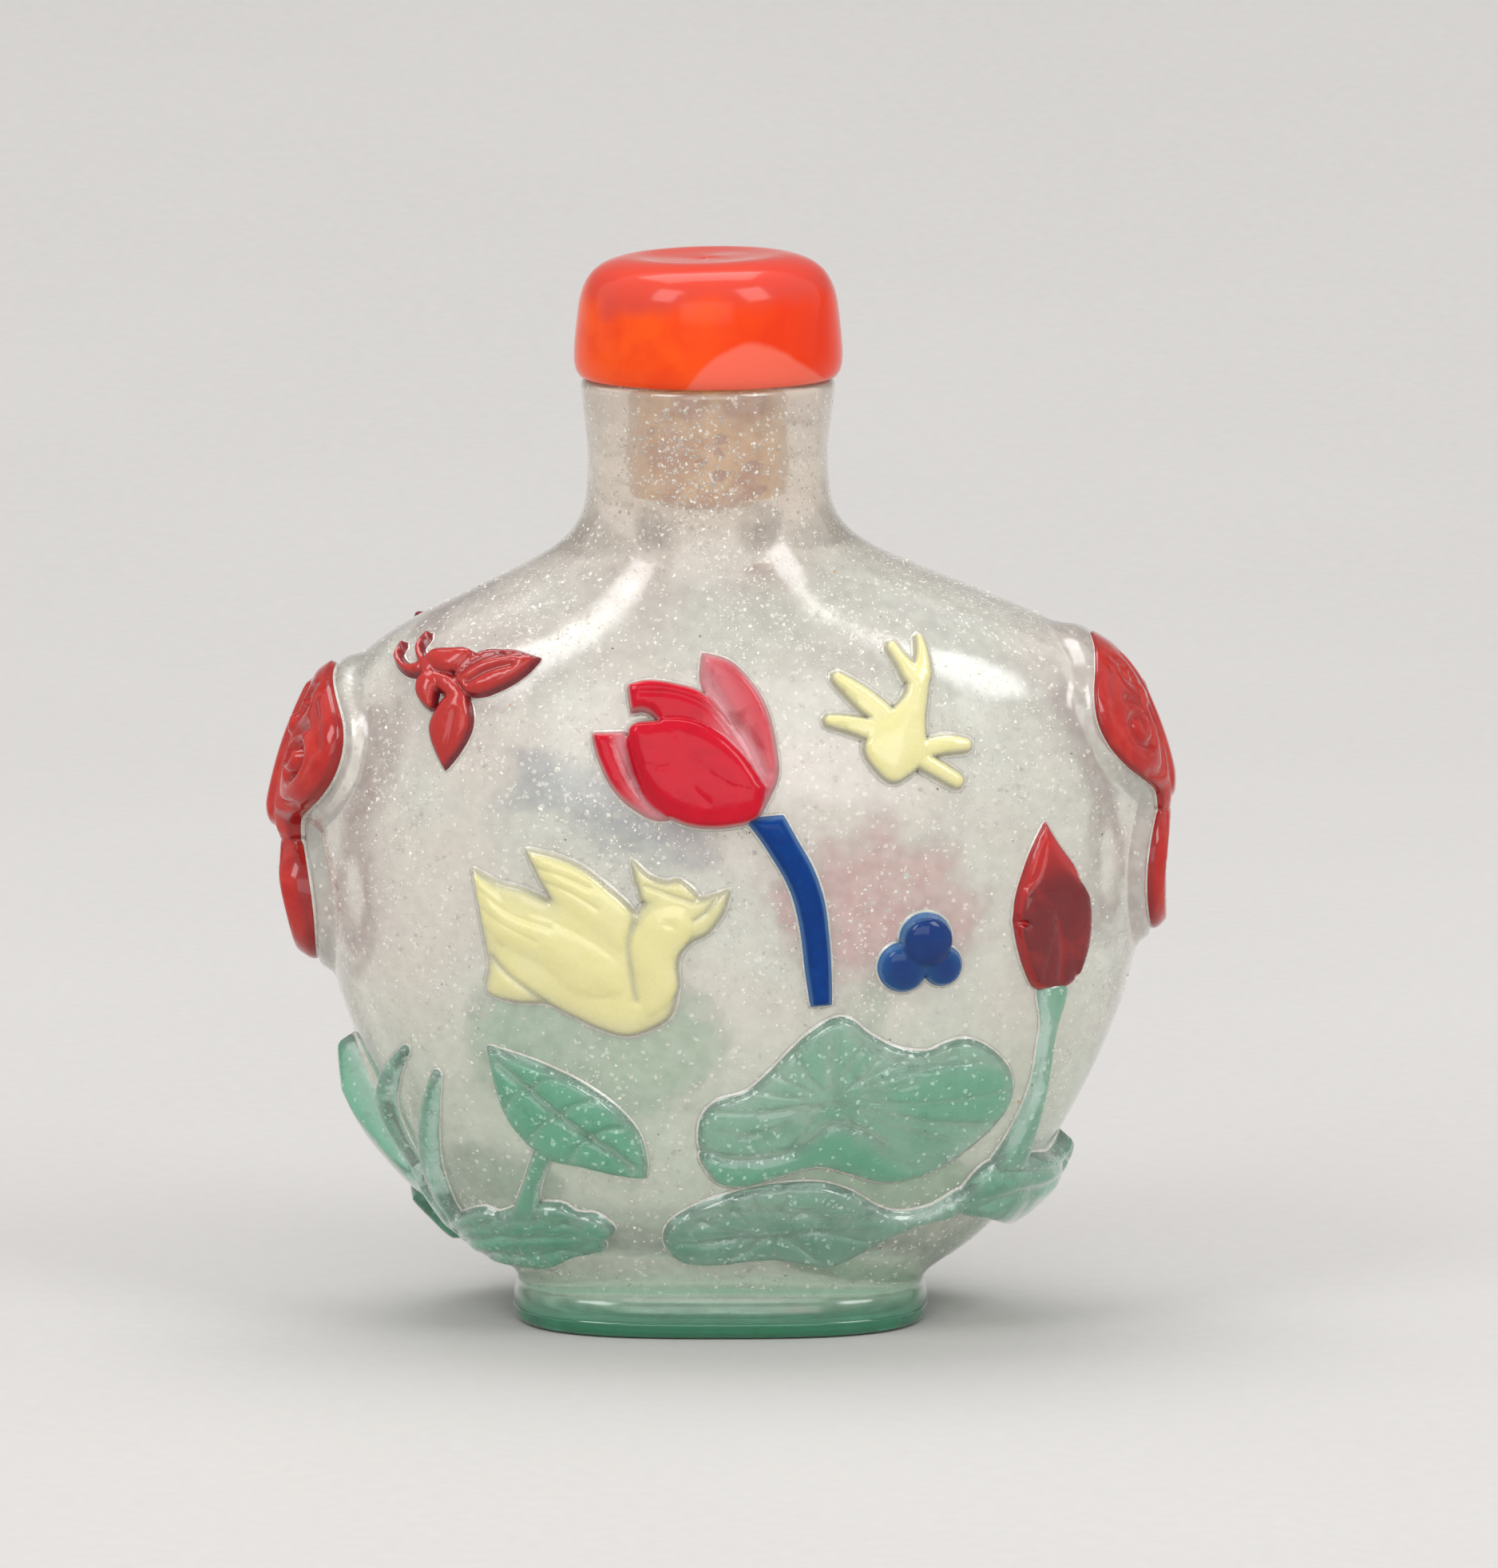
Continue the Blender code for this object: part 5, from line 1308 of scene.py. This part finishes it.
    layers = [(arrow_leaf, 0.6, 0.35, 1.4), (base_leaf, 0.6, 0.38, 1.6), (stem, 0.55, 0.3, 0.6)]
    layers += [(outer_blade, 0.7, 0.25, 1.0)] + [(blade, 0.4, 0.35, 0.7) for blade in blades]
    cuts = [
        ([(-15.2, 19.2), (-13.1, 17.5), (-11.1, 15.8), (-9.1, 14.4), (-7.5, 13.4), (-6.2, 12.3)], 0.3, 0.28),
        *alike(
            0.12, 0.2, [(-13.1, 17.5), (-12.2, 18.1), (-11.3, 18.2)], [(-11.1, 15.8), (-10.0, 16.6), (-8.9, 16.8)],
            [(-9.1, 14.4), (-8.0, 15.0), (-7.0, 15.1)], [(-13.1, 17.5), (-14.0, 17.0), (-14.6, 16.1)],
            [(-11.1, 15.8), (-12.2, 15.1), (-12.9, 14.0)], [(-9.1, 14.4), (-9.9, 13.6), (-10.3, 12.7)],
        ),
        ([(-19.0, 6.8), (-15.7, 8.0), (-13.4, 8.4), (-11.7, 8.6), (-9.4, 8.2)], 0.14, 0.3),
        ([(-18.4, 6.3), (-15.6, 7.0), (-13.2, 7.2), (-10.8, 7.6), (-8.6, 7.4)], 0.14, 0.25),
        *veins((-13.4, 6.9), (
            (160, 3.6, 0.2), (136, 2.6, 0.2), (60, 2.2, 0.2), (24, 4.4, 0.3), (-6, 5.0, -0.2), (-40, 2.4, 0.2),
            (206, 3.4, 0.2), (250, 1.8, 0.1),
        )),
        ([(-16.9, 5.6), (-13.3, 5.9), (-10.7, 6.4), (-9.0, 7.0)], 0.12, 0.3),
    ]
    relief(
        "left_plant", "front", layers, 1.1, "green_glass", cuts=cuts, share_at=blade_share, sink=-0.012,
        halo=0.22, edge_low=0.6, carve=1.4,
    )


def back_overlays():
    def petal(centre, lean, length, width):
        way = np.array((math.sin(lean), math.cos(lean)))
        aside = np.array((way[1], -way[0]))
        reach = [(0, 0.2), (0.3, 0.9), (0.62, 0.85), (1, 0), (0.62, -0.85), (0.3, -0.9), (0, -0.2)]
        points = [np.array(centre) + way * length * along + aside * width / 2 * out for along, out in reach]
        return rounded([(*point, TIP) if i == 3 else (*point,) for i, point in enumerate(points)])

    deep = {"sink": 0.55, "halo": 0.35}
    root = (-10.2, 21.8)
    spread = ((-1.05, 9.2, 0.3), (1.05, 9.2, 0.3), (-0.5, 9.4, 0.45), (0.5, 9.4, 0.45), (0.0, 9.8, 0.6))
    fan = [(petal(root, lean, length, 5.0), low, 0.4, 1.8) for lean, length, low in spread]
    relief("back_lotus_flower", "back", fan, 1.3, "ruby_glass", look="ruby_back", **deep)
    stem = stroke(
        [(-10.1, 20.2), (-9.2, 17.5), (-9.0, 13.5), (-9.8, 9.6), (-10.2, 8.0)],
        [1.5, 1.4, 1.4, 1.6, 2.4],
    )
    low_leaf = rounded([
        (-19.5, 6.4), (-17.0, 8.6), (-13.0, 9.6), (-9.0, 9.4), (-5.4, 8.6), (-3.4, 6.8), (-5.0, 5.0),
        (-9.0, 4.6), (-13.5, 4.3), (-17.5, 4.6),
    ])
    layers = [(stem, 0.5, 0.35, 0.7), (low_leaf, 0.5, 0.4, 1.6)]
    cuts = [
        ([(-18.0, 6.2), (-13.4, 7.2), (-9.0, 7.2), (-5.0, 6.8)], 0.2, 0.3),
        ([(-15.4, 7.9), (-13.4, 7.2), (-14.4, 5.6)], 0.12, 0.25),
        ([(-9.0, 8.6), (-8.0, 7.2), (-9.0, 5.6)], 0.12, 0.25),
    ]
    relief("back_stem_plant", "back", layers, 1.2, "green_glass", cuts=cuts, look="green_back", **deep)
    fish = stroke(
        [(1.2, 28.2), (3.0, 29.3), (6.0, 30.8), (9.0, 32.0), (11.8, 33.2)],
        [1.2, 3.2, 4.4, 3.6, 1.6],
    )
    tails = [
        stroke([(11.2, 33.0), (13.4, 34.6), (15.2, 36.2)], [1.6, 1.8, 0.8]),
        stroke([(11.2, 32.8), (13.6, 32.8), (15.8, 32.2)], [1.6, 1.8, 0.8]),
    ]
    fin = stroke([(5.2, 31.6), (6.6, 32.4), (8.4, 32.4)], [1.2, 1.3, 0.6])
    layers = [(fish, 0.5, 0.5, 2.0), (fin, 0.8, 0.25, 0.5)] + [(tail, 0.4, 0.35, 0.7) for tail in tails]
    cuts = [
        ([(3.4, 31.0), (4.0, 29.6), (3.4, 28.4)], 0.2, 0.2),
        ([(11.8, 33.6), (13.4, 34.8), (14.8, 35.8)], 0.1, 0.16),
        ([(12.0, 32.7), (13.8, 32.7), (15.2, 32.4)], 0.1, 0.16),
        ([(5.6, 30.0), (7.6, 30.9), (9.8, 31.8)], 0.1, 0.2),
    ]
    relief("back_fish", "back", layers, 1.2, "blue_glass", cuts=cuts, look="blue_back", **deep)
    leaf = rounded([
        (1.0, 16.8), (4.0, 19.5), (8.0, 20.4), (12.0, 19.7), (15.8, 20.0), (18.4, 17.6), (17.4, 14.6),
        (14.4, 12.9), (11.4, 13.7), (8.0, 12.3), (4.0, 12.7), (1.5, 14.4),
    ])
    cuts = [
        ([(2.4, 16.2), (6.0, 16.6), (9.6, 16.4), (13.0, 16.8), (16.8, 16.4)], 0.22, 0.3),
        *alike(
            0.16, 0.26, [(9.6, 16.4), (8.0, 18.2), (7.6, 19.6)], [(9.6, 16.4), (12.0, 18.2), (14.8, 19.2)],
            [(9.6, 16.4), (8.0, 14.8), (6.4, 13.4)], [(9.6, 16.4), (12.4, 15.0), (14.6, 14.0)],
        ),
    ]
    layers = [(leaf, 0.5, 0.42, 1.8)]
    relief("back_lotus_leaf", "back", layers, 1.2, "green_glass", cuts=cuts, look="green_back", **deep)
    side_leaf = rounded([
        (-35.9, 7.3), (-35.8, 8.8), (-34.1, 9.9), (-30.6, 9.9), (-26.4, 8.7, TIP), (-25.9, 7.4),
        (-25.0, 6.1), (-25.5, 5.4), (-29.5, 5.6),
    ])
    cuts = [([(-34.6, 8.0), (-31.0, 7.9), (-27.4, 7.6)], 0.16, 0.3)]
    layers = [(side_leaf, 0.75, 0.25, 1.4)]
    relief(
        "back_side_leaf", "front", layers, 2.5, "green_glass", cuts=cuts, look="foot_green", sink=0.3, halo=0.2,
        edge_low=0.8,
    )
    body_stroke = stroke([(18.8, 44.6), (17.9, 42.6), (16.9, 40.6)], [1.6, 2.2, 0.9])
    wings = [
        stroke([(18.2, 43.2), (20.3, 44.3), (22.0, 45.5)], [1.6, 2.2, 0.7]),
        stroke([(18.0, 43.0), (15.4, 44.4), (12.8, 44.6)], [1.6, 2.2, 0.7]),
    ]
    layers = [(body_stroke, 0.55, 0.45, 1.0)] + [(wing, 0.4, 0.4, 1.0) for wing in wings]
    cuts = [
        ([(19.0, 43.6), (20.4, 44.4), (21.4, 45.0)], 0.2, 0.16),
        ([(17.0, 43.6), (15.4, 44.3), (13.6, 44.5)], 0.2, 0.16),
    ]
    relief("back_moth", "back", layers, 1.0, "red_glass", cuts=cuts, **deep)


# What is sealed in the glass

SEALED_HEIGHTS = (0.0032, 0.0612)


def scatter(count, crowd):
    """Places in the wall as shares of the girth and heights, thinned by crowd(share, z) in 0 to 1."""
    found = []
    area = GIRTH * np.hypot(1, np.gradient(SIZES[:, 0], Z_GRID))
    total = np.cumsum(area) / area.sum()
    while sum(len(part) for part in found) < count:
        z = np.interp(rng.random(count), total, Z_GRID)
        share = rng.random(count)
        keep = (rng.random(count) < crowd(share, z)) & (z > SEALED_HEIGHTS[0]) & (z < SEALED_HEIGHTS[1])
        found.append(np.stack([share[keep], z[keep]], axis=1))
    found = np.concatenate(found)[:count]
    return found[:, 0], found[:, 1]


# Crowds of flecks on the front: u and z of the middle, and the reach along both, in mm
FLECK_CROWDS = [
    (-8.5, 33.0, 5.0, 3.0), (5.0, 26.0, 4.5, 3.5), (-23.0, 36.0, 3.0, 6.0), (-1.0, 55.5, 4.0, 3.5),
]
# How the crowd drifts: how much, how many waves round the bottle and per metre up, and from where
FLECK_DRIFTS = ((0.2, 5, 260, 0), (0.15, 11, -410, 2), (0.15, 23, 700, 0))
FLECK_HEIGHTS = [0.0, 0.02, 0.03, 0.042, 0.05, 0.062]
FLECK_SHARES = [0.22, 0.36, 0.55, 0.85, 1, 1]
MOST_CROWDED = 1.4


def cloudy(share, z):
    turn = 2 * math.pi * share
    u, high = ((share + 0.5) % 1 - 0.5) * girth(z) / MM, z / MM
    crowds = sum(np.exp(-(((u - x) / a) ** 2) - ((high - y) / b) ** 2) for x, y, a, b in FLECK_CROWDS)
    drift = 0.5 + sum(much * np.sin(around * turn + up * z + start) for much, around, up, start in FLECK_DRIFTS)
    level = np.clip(drift + crowds, 0.12, MOST_CROWDED) / MOST_CROWDED
    return level * np.interp(z, FLECK_HEIGHTS, FLECK_SHARES)


CHIP_LEAST = 0.45
CHIP_SPREAD = 0.75
CHIP_SLANT = 0.5


def chips(name, share, z, depth, size, look, flatness=0.4):
    """Small angular chips at depths under the glass's surface."""
    count = len(z)
    centre = at_share(share, z, -depth)
    normal = at_share(share, z, 1 - depth) - centre
    aside = np.cross(normal, rng.normal(size=(count, 3)))
    aside /= np.linalg.norm(aside, axis=1, keepdims=True)
    along = np.cross(normal, aside)
    corners = [(1, 0, 0), (0, 1, 0), (-1, 0, 0), (0, -1, 0), (0, 0, 1), (0, 0, -1)]
    points = []
    for a, b, c in corners:
        stretch_by = size[:, None] / 2 * (CHIP_LEAST + CHIP_SPREAD * rng.random((count, 3)))
        slant = (rng.random((count, 2)) - 0.5) * size[:, None] * CHIP_SLANT
        p = centre + aside * (a * stretch_by[:, :1] + slant[:, :1]) + along * (b * stretch_by[:, 1:2] + slant[:, 1:])
        points.append(p + normal * c * stretch_by[:, 2:] * flatness)
    points = np.stack(points, axis=1).reshape(-1, 3)
    local = np.array([(0, 1, 4), (1, 2, 4), (2, 3, 4), (3, 0, 4), (1, 0, 5), (2, 1, 5), (3, 2, 5), (0, 3, 5)])
    faces = (local[None] + 6 * np.arange(count)[:, None, None]).reshape(-1, 3)
    return show(name, points, faces, [look], smooth=False)


# Name, count, median size and greatest depth in mm
FLECKS = (("flecks", 21000, 0.14, 0.0), ("deep_flecks", 9000, 0.24, 1.4))
FLECK_SIZES = (0.05, 0.42)
FLECK_SPREAD = 0.42
SPECKS, SPECK_SIZES = 190, (0.06, 0.2)
AMBERS, AMBER_SIZES = 26, (0.15, 0.42)


def sealed():
    white = fleck_look("snow_flecks", srgb(200, 195, 184), srgb(243, 240, 232))
    for name, count, middle, deepest in FLECKS:
        share, z = scatter(count, cloudy)
        size = np.clip(rng.lognormal(math.log(middle), FLECK_SPREAD, count), *FLECK_SIZES) * MM
        deep = rng.random(count) ** 2 * deepest * MM
        chips(name, share, z, deep + size * 0.04, size, white)
    dark = fleck_look("dark_specks", srgb(26, 22, 18), srgb(70, 60, 46), rough=0.6)
    share, z = scatter(SPECKS, lambda share, z: np.full_like(z, 0.8))
    size = rng.uniform(*SPECK_SIZES, len(z)) * MM
    chips("specks", share, z, size * 0.02, size, dark)
    amber = fleck_look("amber_specks", srgb(176, 112, 40), srgb(214, 160, 80), rough=0.5)
    share, z = scatter(AMBERS, lambda share, z: np.where(z < 0.03, 0.9, 0.25))
    chips("amber", share, z, np.full(len(z), 0.02 * MM), rng.uniform(*AMBER_SIZES, len(z)) * MM, amber)


# Camera, light and floor

CLIP = (0.05, 10)
EYE = (0.0, -0.75, 0.157)
AIM = (0.00188, 0.0, 0.0353)
SENSOR = 36
FOCUS_PIXELS = 14515
PHOTO_WIDTH = 1876


def camera():
    data = bpy.data.cameras.new("camera")
    data.sensor_fit = "HORIZONTAL"
    data.sensor_width = SENSOR
    data.lens = FOCUS_PIXELS / PHOTO_WIDTH * SENSOR
    data.clip_start, data.clip_end = CLIP
    eye = bpy.data.objects.new("camera", data)
    eye.location = EYE
    eye.rotation_euler = (Vector(AIM) - Vector(EYE)).to_track_quat("-Z", "Y").to_euler()
    bpy.context.scene.collection.objects.link(eye)
    bpy.context.scene.camera = eye


# Name, place, size and watts, all turned to the middle of the bottle
SOFTBOXES = [
    ("softbox_left", (-0.42, -0.42, 0.62), (0.28, 0.34), 1.6),
    ("softbox_right", (0.46, -0.36, 0.60), (0.30, 0.36), 1.8),
    ("fill", (0.0, -1.25, 0.55), (1.1, 0.6), 2.8),
    ("softbox_top", (-0.05, 0.25, 0.9), (0.7, 0.5), 4.0),
]
LIT_POINT = (0, 0, 0.03)
WORLD_COLOUR = (1.0, 0.99, 0.975, 1)
WORLD_STRENGTH = 0.75
FLOOR_REACH = 1.6
BEND_START = 0.25
BEND_RADIUS = 1.0
BEND_STEPS = 48


def softbox(name, place, size, energy):
    data = bpy.data.lights.new(name, "AREA")
    data.shape = "RECTANGLE"
    data.size, data.size_y = size
    data.energy = energy
    lamp = bpy.data.objects.new(name, data)
    lamp.location = place
    lamp.rotation_euler = (Vector(LIT_POINT) - Vector(place)).to_track_quat("-Z", "Y").to_euler()
    bpy.context.scene.collection.objects.link(lamp)


def stage():
    """A paper floor that bends up behind the bottle, and the lights."""
    world = bpy.data.worlds.new("studio")
    world.use_nodes = True
    world.node_tree.nodes["Background"].inputs["Color"].default_value = WORLD_COLOUR
    world.node_tree.nodes["Background"].inputs["Strength"].default_value = WORLD_STRENGTH
    bpy.context.scene.world = world
    for form in SOFTBOXES:
        softbox(*form)
    turns = np.linspace(0, math.pi / 2, BEND_STEPS)
    bend = [(BEND_START + BEND_RADIUS * math.sin(a), BEND_RADIUS * (1 - math.cos(a))) for a in turns]
    profile = [(-FLOOR_REACH, 0), (-0.6, 0), (0, 0), *bend, (BEND_START + BEND_RADIUS, FLOOR_REACH)]
    points = [(x, y, z) for y, z in profile for x in (-FLOOR_REACH, FLOOR_REACH)]
    faces = [(2 * i, 2 * i + 1, 2 * i + 3, 2 * i + 2) for i in range(len(profile) - 1)]
    mesh = bpy.data.meshes.new("floor")
    mesh.from_pydata(points, [], faces)
    mesh.shade_smooth()
    look = Look("paper", Roughness=0.85)
    paper = look.mix(look.noise(0.0012, 1), srgb(190, 188, 186), srgb(197, 195, 193))
    paper = look.mix(look.ramp(look.noise(0.05, 1), 0.35, 0.7, 0, 0.2), paper, srgb(200, 198, 195))
    # painted shade: the paper is painted darker as it rises into the wall behind the bottle
    look.colour(look.mix(look.ramp(look.place("Z"), 0.0, 0.3), paper, srgb(150, 148, 147)))
    mesh.materials.append(look.material)
    floor = bpy.data.objects.new("floor", mesh)
    bpy.context.scene.collection.objects.link(floor)
    bpy.context.scene.view_settings.view_transform = "Standard"


camera()
body()
foot()
cap()
cork()
handle("left")
handle("right")
front_overlays()
back_overlays()
sealed()
stage()
